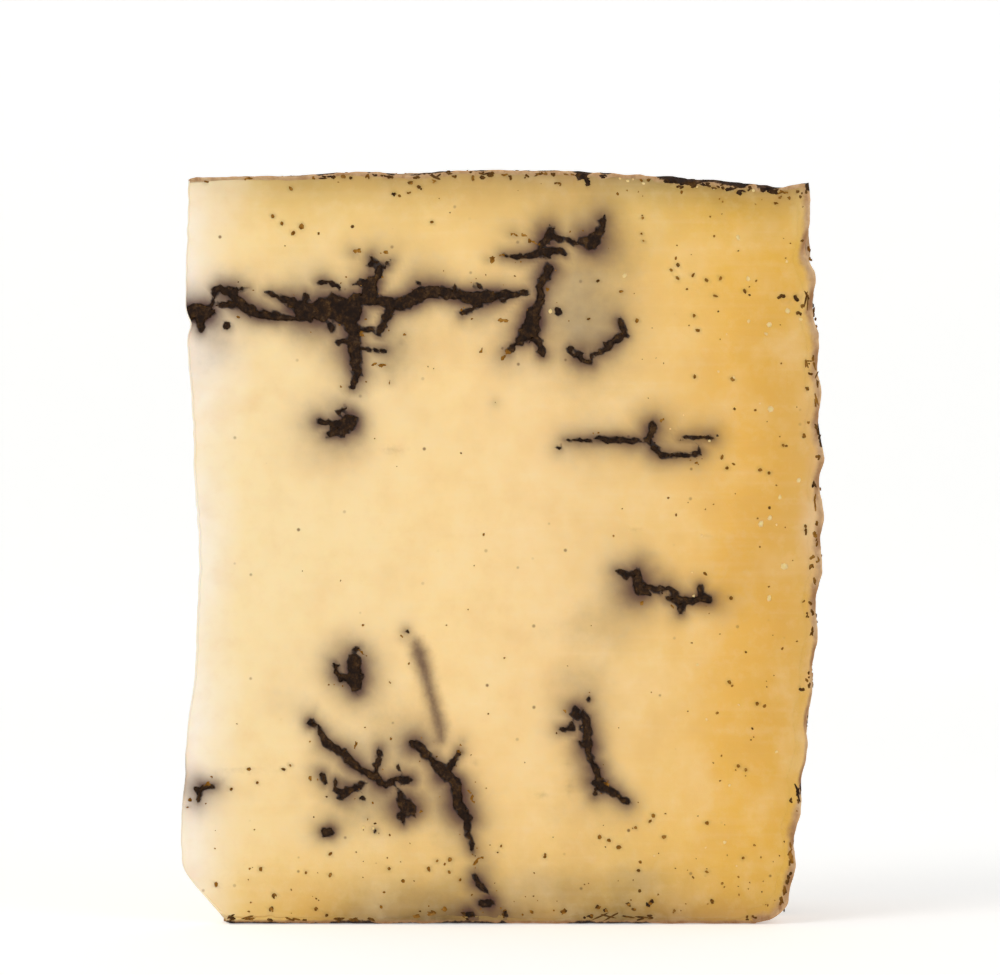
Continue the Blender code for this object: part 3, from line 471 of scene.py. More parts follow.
# How finely each surface is drawn, as cells along it
BODY_CELLS = (168, 24, 196)     # from tip to rim, from face to face, from base to top
RIND_FLAT_CELLS = 190           # along the top and the base
RIND_BARREL_CELLS = 250
RIND_TURN_CELLS = 72
PASTE_CELL = 0.18
PASTE_FLOOR = 1.3               # the paste's underside lies this far behind the cut face
PASTE_DIVE = 0.7                # and its edge goes this far under the cheese
PASTE_DIVE_WIDTH = 0.22         # over this far across the edge
PASTE_INSIDE = 0.06             # whose middle lies this far inside the stroke's
PASTE_EDGE = 0.26               # the paste's cells reach this far past the stroke
PASTE_BELOW = 0.04              # its crumbs stay this far under the drawn cheese
BROWN_BELOW = 0.02              # and a brown vein's even surface this far
PASTE_FRINGE = (0.06, 0.45)     # how brown the paste turns at its edge, and how far inwards
PASTE_SHARE = 0.45              # the share of a thin wedge's thickness that one face's paste takes
LEAST_PASTE = 0.1               # and the least that is left of it there
NOISE_CELLS = 61                # the lattice of the lumps repeats after this many cells
CORNER_PASSES = 4
CREASE_ANGLE = math.radians(38.0)

FRAME_WIDTH = 165.4             # mm that the photo's 1000 pixels span at the front face
CAMERA_DISTANCE = 900.0
CAMERA_HEIGHT = 72.2
CAMERA_X = -0.5
SENSOR_WIDTH = 36.0

TOP_REACH = 7.0                 # mm over which the cheese is duller along the top
BASE_REACH = 7.5                # and along the base
BITS_IN_CLUSTER = 3
LEAST_BIT = 0.16                # half-width in mm of the smallest bit of a cluster
BIT_TONE = 0.6                  # the bits' tones are darkened by this
BIT_TURN = 0.6                  # radians that a bit is turned by, at most
SPECK_MARGINS = (0.8, 0.7, 0.9, 0.9)    # mm kept clear at the tip, the rind, the base and the top
BIT_MARGIN = 0.6                # and by bits, at the tip and the rind
BIT_TOP_MARGIN = 0.35
BIT_BASE_MARGIN = 0.1
LUMP_LEAST = 0.68               # a lump's points lie between these shares of its half-widths
LUMP_MOST = 1.3
SPECK_THICKNESS = 0.06          # specks and crystals reach this far out of and into the face
SPECK_LIFT = 0.03               # from middles that stand off it by this, so that the rind's cut
CRYSTAL_LIFT = 0.02             # doesn't hide them
STRAY_SPECKS = 3000
STRAY_REGION = ((3.0, 104.0), (1.2, 123.0))     # the radii and heights that they lie between
STRAY_KEPT = 0.3                # the share of strays that is kept where the likelihood is 1
STRAY_ANYWHERE = 0.05           # a stray's likelihood anywhere
STRAY_BASE = (0.9, 13.0)        # and what the base adds, with its reach in mm
STRAY_TOP = (0.45, 10.0)
STRAY_RIND = (0.35, 68.0, 30.0) # from this radius on, over this far
STRAY_PASTE = (1.6, 0.8)
BARREL_CRUMBS = 520
BARREL_CRUMB = (0.2, 0.65)      # their half-widths, from smallest to largest
TOP_CRUMBS = 260
TOP_CRUMB = (0.2, 0.6)
TOP_CRUMB_REGION = 103.0        # the largest radius that they lie at
TOP_CRUMB_MARGIN = 1.1          # mm that they keep from the cuts
RIND_CRUMB_TONE = (0.0, 0.6)
RIND_CRUMB_SINK = 0.3           # mm that their middles lie under the smooth rind
STRAY_CRYSTALS = 22
STRAY_CRYSTAL = (0.15, 0.32)
CRYSTAL_REGION = ((78.0, 102.0), (8.0, 116.0))

# The cheese's colour by distance from the wheel's axis, as shares of 107 mm: within the wedge, at
# the top and at the base. The core's palest stops, right at the tip, are partly painted light: the
# glow and slight glare of light coming through the thin tip, over the cheese's own pale cream
CORE_COLOURS = ((0.02, "#FFF1DE"), (0.055, "#FEE9C6"), (0.10, "#FDE1AC"), (0.187, "#FCDFA8"),
                (0.40, "#FDDA9C"), (0.56, "#F9D598"), (0.68, "#F3CE8C"), (0.785, "#F0C475"),
                (0.86, "#EAB656"), (0.92, "#DFAB4C"), (0.96, "#DCAC56"), (0.99, "#DEB47C"))
TOP_COLOURS = ((0.03, "#F0DFBE"), (0.11, "#CEB074"), (0.2, "#B8985A"), (0.38, "#AE8C56"),
               (0.6, "#9E8056"), (0.75, "#968052"), (0.88, "#90703C"), (0.98, "#BC9A64"))
BASE_COLOURS = ((0.02, "#F6E2BA"), (0.1, "#E8C67C"), (0.19, "#D0A452"), (0.28, "#947442"),
                (0.40, "#6A5232"), (0.58, "#A4824C"), (0.69, "#6C542F"), (0.79, "#A07840"),
                (0.92, "#C69A50"))
AMBER = "#ECBE48"               # the cheese towards its dry top and base
SKIN_LIGHT = 0.8                # mm that red light travels in the cheese

# The studio, in mm, its lights in watts and its glow as shares of white
FLOOR_NEAR = -2400.0
FLOOR_FAR = 1500.0
SWEEP_RADIUS = 500.0
WALL_TOP = 2600.0
STAGE_HALF_WIDTH = 2600.0
FLOOR_GAP = 0.05                # under the base, so that the two don't lie in one plane
BOARD_GLOW = 0.36
ROOM_LIGHT = 0.47
STUDIO_LIGHTS = (
    ("key_light", (-900.0, -1100.0, 1100.0), 900.0, 7.5),
    ("fill_light", (1100.0, -1200.0, 500.0), 1100.0, 4.2),
)


def linear(code):
    """Linear colour of an sRGB hex code: each channel's power curve, with its straight foot."""
    channels = np.array([int(code[at:at + 2], 16) for at in (1, 3, 5)]) / 255.0
    low = channels / 12.92
    high = ((channels + 0.055) / 1.055) ** 2.4
    return tuple(float(value) for value in np.where(channels <= 0.04045, low, high))


def size(label, about, default):
    """A length in mm that a user may change, held in metres."""
    return bpy.props.FloatProperty(name=label, description=about, default=default * MM, min=0.0,
                                   precision=5, subtype="DISTANCE", unit="LENGTH")


def tint(label, about, code):
    """A colour that a user may change."""
    return bpy.props.FloatVectorProperty(name=label, description=about, default=linear(code),
                                         size=3, min=0.0, max=1.0, subtype="COLOR")


class CheeseSizes(bpy.types.PropertyGroup):
    """Sizes of the cheese's relief."""

    groove: size("Groove depth", "Depth of the crevices that the paste lies in", 0.5)
    bank: size("Groove bank", "Width of a crevice's sloping side", 0.8)
    recess: size("Paste recess", "How far the paste lies behind the cut face", 0.1)
    crumb: size("Paste crumb", "Height of the paste's crumbs", 0.35)
    ragged: size("Ragged edge", "How far the paste's edge strays from its stroke", 0.4)
    knife_wave: size("Knife wave", "Height of the knife's faint waves over the cut faces", 0.12)
    weave: size("Basket marks", "Height of the basket's marks on the rind", 0.42)
    crust: size("Rind crust", "Depth of the rind's rough crust", 0.5)


class CheeseColours(bpy.types.PropertyGroup):
    """Colours of the cheese."""

    paste: tint("Truffle paste", "The paste's black-brown", "#2A1A10")
    soaked: tint("Soaked cheese", "Cheese that the paste has turned brown", "#4C2926")
    grey: tint("Truffle stain", "Grey-violet stain where juice has spread", "#766650")
    olive: tint("Olive stain", "Clouds of fine paste", "#8C6A30")
    bare: tint("Bare rind", "The rind where its coat is off", "#CCA478")
    coat: tint("Rind coat", "The rind's dark coat of truffle", "#3A281C")
    crystal: tint("Crystals", "Pale crystals in the cheese", "#FFD78E")


def ramp(value):
    """0 below 0 and 1 above 1, with a smooth rise between."""
    share = np.clip(value, 0.0, 1.0)
    return share * share * (3.0 - 2.0 * share)


def eased(value, keys):
    """Value through the keys, level at each key."""
    at, to = np.array(keys).T
    left = np.clip(np.searchsorted(at, value, side="right") - 1, 0, len(at) - 2)
    return to[left] + (to[left + 1] - to[left]) * ramp((value - at[left]) / (at[left + 1] - at[left]))


def lumps(across, up, pitch, seed):
    """Smooth noise from -1 to 1: seeded heights on a square lattice of the pitch, blended by a
    smooth ramp between the four nearest. The lattice is turned, so that it follows no edge."""
    heights = np.random.default_rng(seed).uniform(-1.0, 1.0, (NOISE_CELLS, NOISE_CELLS))
    column = (0.8 * across + 0.6 * up) / pitch
    row = (0.8 * up - 0.6 * across) / pitch
    left, low = np.floor(column).astype(int), np.floor(row).astype(int)
    share, rise = ramp(column - left), ramp(row - low)
    corners = [heights[(low + down) % NOISE_CELLS, (left + side) % NOISE_CELLS]
               for down, side in ((0, 0), (0, 1), (1, 0), (1, 1))]
    below = corners[0] + (corners[1] - corners[0]) * share
    above = corners[2] + (corners[3] - corners[2]) * share
    return below + (above - below) * rise


def tip_radius(height):
    """Radius of the worn tip edge: the larger of its wear and the broken foot, rounded where the
    two meet, and the notch of the open vein."""
    chip = CHIP_REACH - CHIP_SLOPE * height
    notch = NOTCH_DEPTH * np.exp(-((height - NOTCH_HEIGHT) / NOTCH_SIZE) ** 2)
    worn = CHIP_ROUND * np.logaddexp(eased(height, TIP_WEAR) / CHIP_ROUND, chip / CHIP_ROUND)
    return worn + notch


def drawn_tip(height):
    """The tip edge as it is drawn: the solid's, moved inwards by small lumps."""
    return tip_radius(height) + TIP_WAVER * (1.0 + lumps(height, height, 2.3, 5))


def barrel_radius(height):
    """Radius of the barrel: two parabolas that meet at the belly, and a quarter round below."""
    above = TOP_DRAFT * ((height - BELLY_HEIGHT) / (WHEEL_HEIGHT - BELLY_HEIGHT)) ** 2
    below = BASE_DRAFT * ((BELLY_HEIGHT - height) / BELLY_HEIGHT) ** 2
    inside = np.clip(BASE_CORNER - height, 0.0, BASE_CORNER)
    corner = BASE_CORNER - np.sqrt(BASE_CORNER ** 2 - inside ** 2)
    return BELLY_RADIUS - np.where(height > BELLY_HEIGHT, above, below) - corner


def weave(arc, height):
    """Basket marks from -1 to 1: rounded pads in a chequer, as canes that pass before and behind
    stakes."""
    rows = np.cos(2.0 * math.pi * (height - WEAVE_CREST) / WEAVE_PITCH)
    stakes = np.cos(math.pi * arc / STAKE_PITCH)
    fade = ramp(height / (2.0 * BASE_CORNER)) * ramp((WHEEL_HEIGHT - height) / (2.0 * BASE_CORNER))
    return rows * stakes * fade


def rim_radius(height, angle, sizes):
    """Radius of the rind: the barrel, the basket's marks and the wander beside the front cut."""
    barrel = barrel_radius(height)
    arc = barrel * angle
    wander = eased(height, RIM_WANDER) * (1.0 - ramp(arc / WANDER_REACH))
    wander = wander - 0.35 * (0.5 + 0.5 * lumps(arc, height, 9.0, 3)) * ramp(arc / WANDER_REACH)
    return barrel + sizes.weave / MM * weave(arc, height) + wander


def top_height(radius, angle):
    """Height of the top: a crown that falls to the axis and the rim, then rises to the lip."""
    inner = AXIS_DIP * np.clip(1.0 - radius / CROWN_RADIUS, 0.0, 1.0) ** 2
    outer = RIM_DROP * np.clip(radius / CROWN_RADIUS - 1.0, 0.0, 1.0) ** 2
    height = WHEEL_HEIGHT - inner - outer + LIP_HEIGHT * ramp((radius - LIP_START) / LIP_WIDTH)
    for at, depth in TOP_DIMPLES:
        away = np.hypot(radius * np.cos(angle) - at, radius * np.sin(angle))
        height = height - depth * np.exp(-(away / DIMPLE_SIZE) ** 2)
    return height


def on_back(strokes):
    """The front's strokes as the second cut meets them: upside down and bent by slow waves."""
    def bent(point):
        radius, height, half_width = point
        return (radius + 3.0 * math.sin(height / 9.0 + 1.0) + 3.0,
                WHEEL_HEIGHT - height + 2.5 * math.sin(radius / 11.0), half_width)
    return tuple(tuple(bent(point) for point in stroke) for stroke in strokes)


STROKES = {False: VEINS, True: on_back(VEINS)}
BROWN_STROKES = {False: BROWN_VEINS, True: on_back(BROWN_VEINS)}


def cones(radius, height, strokes):
    """For each piece of each stroke, a cone with round ends whose half-width runs evenly from point
    to point: the distance of points of a cut face to its side, below 0 inside, and its half-width
    at the place nearest to them."""
    for stroke in strokes:
        for start, end in zip(stroke, stroke[1:] or stroke):
            along_r, along_z = end[0] - start[0], end[1] - start[1]
            length = max(along_r ** 2 + along_z ** 2, 1e-9)
            off_r, off_z = radius - start[0], height - start[1]
            share = np.clip((off_r * along_r + off_z * along_z) / length, 0.0, 1.0)
            half = start[2] + share * (end[2] - start[2])
            yield np.hypot(off_r - share * along_r, off_z - share * along_z) - half, half


def stroke_gap(radius, height, strokes):
    """Distance from points of a cut face to the nearest stroke's side, below 0 inside."""
    gap = np.full(np.shape(radius), FAR)
    for away, _ in cones(radius, height, strokes):
        gap = np.minimum(gap, away)
    return gap


def stroke_halo(radius, height, strokes):
    """The stain that juice has left round the strokes, from 0 to 1: it falls to a third over a
    reach that drifts, and a broad stroke's is stronger and reaches further."""
    shade = np.zeros(np.shape(radius))
    drift = 1.0 + HALO_DRIFT * lumps(radius, height, HALO_DRIFT_PITCH, 17)
    for stroke in strokes:
        share = 1.0 if stroke[1:] else LONE_HALO
        for away, half in cones(radius, height, (stroke,)):
            strength = share * np.minimum(HALO_FAINT + HALO_DEEPENS * half, HALO_DEEP)
            reach = share * np.minimum(HALO_NEAR + HALO_GROWTH * half, HALO_FAR) * drift
            shade = np.maximum(shade, strength * np.exp(-np.maximum(away, 0.0) / reach))
    return shade


def ragged_gap(radius, height, strokes, ragged):
    """The strokes' gap with a crumbly edge: the points are moved by two sizes of lumps first, and
    then the edge itself wanders by two finer ones."""
    moved_r = radius + ragged * (0.6 * lumps(radius, height, 1.7, 11)
                                 + 0.5 * lumps(radius, height, 0.8, 12))
    moved_z = height + ragged * (0.6 * lumps(radius, height, 1.7, 13)
                                 + 0.5 * lumps(radius, height, 0.8, 14))
    edge = 0.7 * lumps(radius, height, 0.8, 15) + 0.8 * lumps(radius, height, 0.45, 16) - 0.2
    return stroke_gap(moved_r, moved_z, strokes) + ragged * edge


def clouds(radius, height, spots):
    """Soft spots, each a bell over an ellipse, as the largest of them at each point."""
    amount = np.zeros(np.shape(radius))
    for at_r, at_z, reach_r, reach_z, strength in spots:
        away = ((radius - at_r) / reach_r) ** 2 + ((height - at_z) / reach_z) ** 2
        amount = np.maximum(amount, strength * np.exp(-away))
    return amount


def mirrored_spots(spots):
    """The front's spots on the back face, as on_back turns them."""
    return tuple(bent[0][:2] + spot[2:] for spot, bent in
                 zip(spots, on_back((spot[:3],) for spot in spots)))


SPOTS = {False: (GREY_STAINS, OLIVE_STAINS, PITS),
         True: tuple(mirrored_spots(spots) for spots in (GREY_STAINS, OLIVE_STAINS, PITS))}


def cut_depth(radius, height, back, sizes):
    """How far a cut face lies behind its plane: the crevices, the knife's waves and the pits."""
    gap = stroke_gap(radius, height, STROKES[back])
    crevice = sizes.groove / MM * ramp(0.5 - gap / (sizes.bank / MM))
    wave = np.sin(radius / 9.0 + 0.6) * np.sin(height / 13.0 + 1.1)
    chatter = 0.02 * lumps(radius * 0.12, height, 1.6, 21) + 0.03 * lumps(radius * 0.3, height, 4.0, 22)
    return (FACE_INSET + crevice + sizes.knife_wave / MM * (0.5 + 0.5 * wave) + np.abs(chatter)
            + clouds(radius, height, SPOTS[back][2]))


def on_wheel(outward, turn, rise, sizes, inset, base_inset):
    """Radius, angle and height of points given as shares from 0 to 1: from the tip edge to the
    rind, from the front face round to the back one, and from base to top. The insets draw the
    rind and the top, and the base, in."""
    level = rise * WHEEL_HEIGHT
    angle = turn * WEDGE_ANGLE
    tip = drawn_tip(level)
    radius = tip + outward * (rim_radius(level, angle, sizes) - inset - tip)
    return radius, angle, base_inset + rise * (top_height(radius, angle) - inset - base_inset)


def in_frame(radius, angle, height, front, back):
    """Places in the frame, in mm, of points of the wheel, which the front and back depths move
    into the wedge, square to the two cut faces."""
    across = radius * np.cos(angle) + back * math.sin(WEDGE_ANGLE)
    deep = radius * np.sin(angle) + front - back * math.cos(WEDGE_ANGLE)
    return np.stack([AXIS_X + across, AXIS_Y + deep, height], axis=-1)


def box_surface(cells):
    """The skin of a block of cells: whole-number places and four-sided faces that look outwards.
    Each side is a grid of two of the three counts, and places that sides share are one."""
    weights = np.array((1_000_000, 1_000, 1))
    sides = []
    for axis in range(3):
        second, third = (axis + 1) % 3, (axis + 2) % 3
        one, two = np.meshgrid(np.arange(cells[second]), np.arange(cells[third]), indexing="ij")
        for level in (0, cells[axis]):
            steps = ((0, 0), (1, 0), (1, 1), (0, 1))
            corners = [level * weights[axis] + (one + step_one) * weights[second]
                       + (two + step_two) * weights[third]
                       for step_one, step_two in (steps if level else steps[::-1])]
            sides.append(np.stack(corners, axis=-1).reshape(-1, 4))
    keys, faces = np.unique(np.concatenate(sides), return_inverse=True)
    return keys[:, None] // weights % 1_000, faces.reshape(-1, 4)


def thick_sheet(upper, lower, cells):
    """A closed sheet between two grids of points where cells is true: the upper grid's faces, the
    lower's turned over, and a wall along every edge of the cells. Gives the points, the faces and
    the numbers of the grids' points that are used, the lower's counted on from the upper's."""
    rows, columns = upper.shape[:2]
    number = np.arange(rows * columns).reshape(rows, columns)
    near, right = number[:-1, :-1], number[:-1, 1:]
    far, last = number[1:, :-1], number[1:, 1:]
    shift = rows * columns
    faces = [np.stack([near, right, last, far], axis=-1)[cells],
             np.stack([near, far, last, right], axis=-1)[cells] + shift]
    ringed = np.pad(cells, 1)
    for beside, start, end in ((ringed[:-2, 1:-1], right, near), (ringed[2:, 1:-1], far, last),
                               (ringed[1:-1, :-2], near, far), (ringed[1:-1, 2:], last, right)):
        edge = cells & ~beside
        faces.append(np.stack([start, end, end + shift, start + shift], axis=-1)[edge])
    used, faces = np.unique(np.concatenate(faces), return_inverse=True)
    points = np.concatenate([upper.reshape(-1, 3), lower.reshape(-1, 3)])[used]
    return points, faces.reshape(-1, 4), used


def without_corner_touches(cells):
    """Fills cells until none touch at a corner alone, where a wall would have four sides."""
    for _ in range(CORNER_PASSES):
        low_left, low_right = cells[:-1, :-1], cells[:-1, 1:]
        high_left, high_right = cells[1:, :-1], cells[1:, 1:]
        rising = low_left & high_right & ~low_right & ~high_left
        falling = low_right & high_left & ~low_left & ~high_right
        cells = cells.copy()
        cells[:-1, 1:] |= rising
        cells[:-1, :-1] |= falling
    return cells


def new_object(name, points, faces, material):
    """A smooth-shaded object from points in mm and faces of one number of sides."""
    mesh = bpy.data.meshes.new(name)
    mesh.vertices.add(len(points))
    mesh.vertices.foreach_set("co", (points * MM).astype(np.float32).ravel())
    mesh.loops.add(faces.size)
    mesh.loops.foreach_set("vertex_index", faces.astype(np.int32).ravel())
    mesh.polygons.add(len(faces))
    mesh.polygons.foreach_set("loop_start", np.arange(0, faces.size, faces.shape[1], dtype=np.int32))
    mesh.update(calc_edges=True)
    if mesh.validate():
        raise RuntimeError(f"{name} had faces that Blender had to repair")
    mesh.materials.append(material)
    mesh.shade_smooth()
    mesh.set_sharp_from_angle(angle=CREASE_ANGLE)
    made = bpy.data.objects.new(name, mesh)
    bpy.context.scene.collection.objects.link(made)
    return made


def make_piece(name, points, faces, material, attributes):
    """A piece that rides on the frame's only body, with one number a point for each attribute."""
    piece = new_object(name, points, faces, material)
    for label, values in attributes.items():
        layer = piece.data.attributes.new(label, "FLOAT", "POINT")
        layer.data.foreach_set("value", np.asarray(values, dtype=np.float32))
    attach(piece, "root")
    return piece


def new_material(name, roughness, specular):
    """A Principled material with its uniform values on the shader's own sockets."""
    material = bpy.data.materials.new(name)
    material.use_nodes = True
    shader = material.node_tree.nodes["Principled BSDF"]
    shader.inputs["Roughness"].default_value = roughness
    shader.inputs["Specular IOR Level"].default_value = specular
    return material, shader


def add(material, kind, inputs=None, stops=None, **settings):
    """Adds a node with its settings, its inputs, which are values or sockets, and a ramp's stops."""
    tree = material.node_tree
    node = tree.nodes.new(kind)
    for label, value in settings.items():
        setattr(node, label, value)
    for label, value in (inputs or {}).items():
        if isinstance(value, bpy.types.NodeSocket):
            tree.links.new(value, node.inputs[label])
        else:
            node.inputs[label].default_value = value
    for at, (place, code) in enumerate(stops or ()):
        element = node.color_ramp.elements[at] if at < 2 else node.color_ramp.elements.new(place)
        element.position = place
        element.color = (*linear(code), 1.0)
    return node


def layered(material, colour, layers):
    """Lays colours over one another: each layer is a share, which may be a socket, and a colour."""
    for share, over in layers:
        over = over if isinstance(over, bpy.types.NodeSocket) else (*over, 1.0)
        colour = add(material, "ShaderNodeMix", {0: share, 6: colour, 7: over},
                     data_type="RGBA").outputs[2]
    return colour


def finish_surface(material, shader, colour, bump=None, weight=0.0, radius=(1.0, 0.55, 0.25)):
    """Links the colour and the bump to the shader, and lets light into the surface by the weight,
    over the radius in shares of SKIN_LIGHT for red, green and blue."""
    material.node_tree.links.new(colour, shader.inputs["Base Color"])
    if bump is not None:
        material.node_tree.links.new(bump.outputs["Normal"], shader.inputs["Normal"])
    if weight:
        shader.inputs["Subsurface Weight"].default_value = weight
        shader.inputs["Subsurface Radius"].default_value = radius
        shader.inputs["Subsurface Scale"].default_value = SKIN_LIGHT * MM
    return material


def masks(material, ranges):
    """Shares from 0 to 1: each range is an attribute, a noise's grain in mm, how far the noise
    moves the attribute, and the values where the share is 0 and 1."""
    place = add(material, "ShaderNodeTexCoord").outputs["Object"]
    shares = []
    for label, grain, reach, low, high in ranges:
        value = add(material, "ShaderNodeAttribute", attribute_name=label).outputs["Fac"]
        noise = add(material, "ShaderNodeTexNoise", {"Vector": place, "Scale": 1.0 / (grain * MM),
                                                     "Detail": 4.0, "Roughness": 0.6}).outputs["Fac"]
        moved = add(material, "ShaderNodeMath", {0: noise, 1: 2.0 * reach, 2: value},
                    operation="MULTIPLY_ADD").outputs[0]
        shares.append(add(material, "ShaderNodeMapRange",
                          {"Value": moved, "From Min": low + reach, "From Max": high + reach},
                          interpolation_type="SMOOTHSTEP").outputs["Result"])
    return shares


def cheese_colour(material):
    """The cheese's colour as a socket: cream at the tip and amber towards the rind, by the
    distance from the wheel's axis, and amber, then duller, towards the dry top and base. The
    near-white right at the tip is partly painted light: the glow and slight glare of light coming
    through the thin tip, laid over the cheese's own pale cream. Soft clouds, curd grains and fine
    brown specks are laid over it."""
    place = add(material, "ShaderNodeTexCoord").outputs["Object"]
    flat = add(material, "ShaderNodeMapping", {"Vector": place, "Scale": (1.0, 1.0, 0.0),
                                               "Location": (-AXIS_X * MM, -AXIS_Y * MM, 0.0)})
    radius = add(material, "ShaderNodeVectorMath", {0: flat.outputs[0]}, operation="LENGTH")
    drift = add(material, "ShaderNodeTexNoise", {"Vector": place, "Scale": 1.0 / (20.0 * MM),
                                                 "Detail": 4.0}).outputs["Fac"]
    uneven = add(material, "ShaderNodeMath", {0: drift, 1: 12.0 * MM, 2: radius.outputs["Value"]},
                 operation="MULTIPLY_ADD").outputs[0]
    share = add(material, "ShaderNodeMapRange", {"Value": uneven, "From Min": 6.0 * MM,
                                                 "From Max": 113.0 * MM}).outputs["Result"]
    # the core ramp's near-white at the tip is partly painted light: the glow of light through the thin
    # tip
    core, top, base = (add(material, "ShaderNodeValToRGB", {"Fac": share}, stops).outputs["Color"]
                       for stops in (CORE_COLOURS, TOP_COLOURS, BASE_COLOURS))
    near_top, near_base = masks(material, (("near_top", 4.0, 0.1, 0.1, 1.15),
                                           ("near_base", 4.0, 0.1, 0.0, 1.1)))
    wide = [add(material, "ShaderNodeAttribute", attribute_name=label).outputs["Fac"]
            for label in ("near_top", "near_base")]
    wide = add(material, "ShaderNodeMath", {0: wide[0], 1: wide[1]}, operation="ADD").outputs[0]
    wide = add(material, "ShaderNodeMath", {0: wide, 1: 0.5}, operation="POWER").outputs[0]
    off_tip = add(material, "ShaderNodeMapRange", {"Value": share, "From Min": 0.0, "From Max": 0.15,
                                                   "To Max": 0.75}).outputs["Result"]
    amber = add(material, "ShaderNodeMath", {0: wide, 1: off_tip}, operation="MULTIPLY").outputs[0]
    clouds_in = add(material, "ShaderNodeTexNoise", {"Vector": place, "Scale": 1.0 / (9.0 * MM),
                                                     "Detail": 3.0}).outputs["Fac"]
    mottle = add(material, "ShaderNodeTexNoise", {"Vector": place, "Scale": 1.0 / (3.0 * MM),
                                                  "Detail": 6.0, "Roughness": 0.65}).outputs["Fac"]
    pale, deep, light, dark = (
        add(material, "ShaderNodeMapRange", {"Value": noise, "From Min": 0.5, "From Max": end,
                                             "To Max": most}).outputs["Result"]
        for noise, end, most in ((clouds_in, 0.72, 0.2), (clouds_in, 0.28, 0.16),
                                 (mottle, 0.75, 0.12), (mottle, 0.25, 0.12)))
    cells = add(material, "ShaderNodeTexVoronoi", {"Vector": place, "Scale": 1.0 / (2.6 * MM)})
    spot = add(material, "ShaderNodeMapRange", {"Value": cells.outputs["Distance"], "From Min": 0.15,
                                                "From Max": 0.05}, interpolation_type="SMOOTHSTEP")
    chosen = add(material, "ShaderNodeSeparateColor", {0: cells.outputs["Color"]}).outputs[0]
    chosen = add(material, "ShaderNodeMapRange", {"Value": chosen, "From Min": 0.86, "From Max": 1.0,
                                                  "To Max": 0.9}).outputs["Result"]
    specks = add(material, "ShaderNodeMath", {0: spot.outputs["Result"], 1: chosen},
                 operation="MULTIPLY").outputs[0]
    return layered(material, core, (
        (amber, linear(AMBER)), (near_top, top), (near_base, base), (pale, linear("#FFE9BE")),
        (deep, linear("#D39E55")), (light, linear("#FFF0CC")), (dark, linear("#D8A862")),
        (specks, linear("#6E4A1C"))))


def cut_cheese_material(colours):
    """Semi-hard sheep's milk cheese, cut with a knife: a dense, slightly waxy surface that light
    enters by a millimetre or two, with faint streaks where the blade dragged. Round the paste it is
    stained brown-grey, darkest beside it."""
    material, shader = new_material("sheep cheese knife cut", 0.5, 0.3)
    place = add(material, "ShaderNodeTexCoord").outputs["Object"]
    soaked, halo, grey, olive, buried = masks(material, (
        ("vein_gap", 0.5, 0.15, 0.2, -0.15), ("halo", 1.5, 0.08, -0.02, 1.0),
        ("grey", 3.5, 0.14, 0.02, 0.9), ("olive", 0.8, 0.2, 0.05, 1.0),
        ("buried", 1.2, 0.1, 0.05, 0.75)))
    streak_place = add(material, "ShaderNodeMapping", {"Vector": place, "Scale": (0.06, 0.06, 1.0)})
    streaks = add(material, "ShaderNodeTexNoise", {"Vector": streak_place.outputs[0], "Detail": 5.0,
                                                   "Scale": 1.0 / (1.5 * MM)}).outputs["Fac"]
    drag = add(material, "ShaderNodeMapRange", {"Value": streaks, "From Min": 0.5, "From Max": 0.75,
                                                "To Max": 0.05}).outputs["Result"]
    halo, grey, olive, buried = (
        add(material, "ShaderNodeMath", {0: share, 1: most}, operation="MULTIPLY").outputs[0]
        for share, most in ((halo, 0.95), (grey, 0.75), (olive, 0.8), (buried, 0.88)))
    colour = layered(material, cheese_colour(material), (
        (drag, linear("#FFF3DA")), (grey, colours.grey), (buried, colours.soaked),
        (olive, colours.olive), (halo, colours.soaked), (soaked, colours.paste)))
    pores = add(material, "ShaderNodeTexNoise", {"Vector": place, "Scale": 1.0 / (0.9 * MM),
                                                 "Detail": 5.0, "Roughness": 0.7}).outputs["Fac"]
    relief = add(material, "ShaderNodeMath", {0: streaks, 1: 0.5, 2: pores},
                 operation="MULTIPLY_ADD").outputs[0]
    bump = add(material, "ShaderNodeBump", {"Strength": 0.35, "Distance": 0.1 * MM, "Height": relief})
    return finish_surface(material, shader, colour, bump, 0.25)


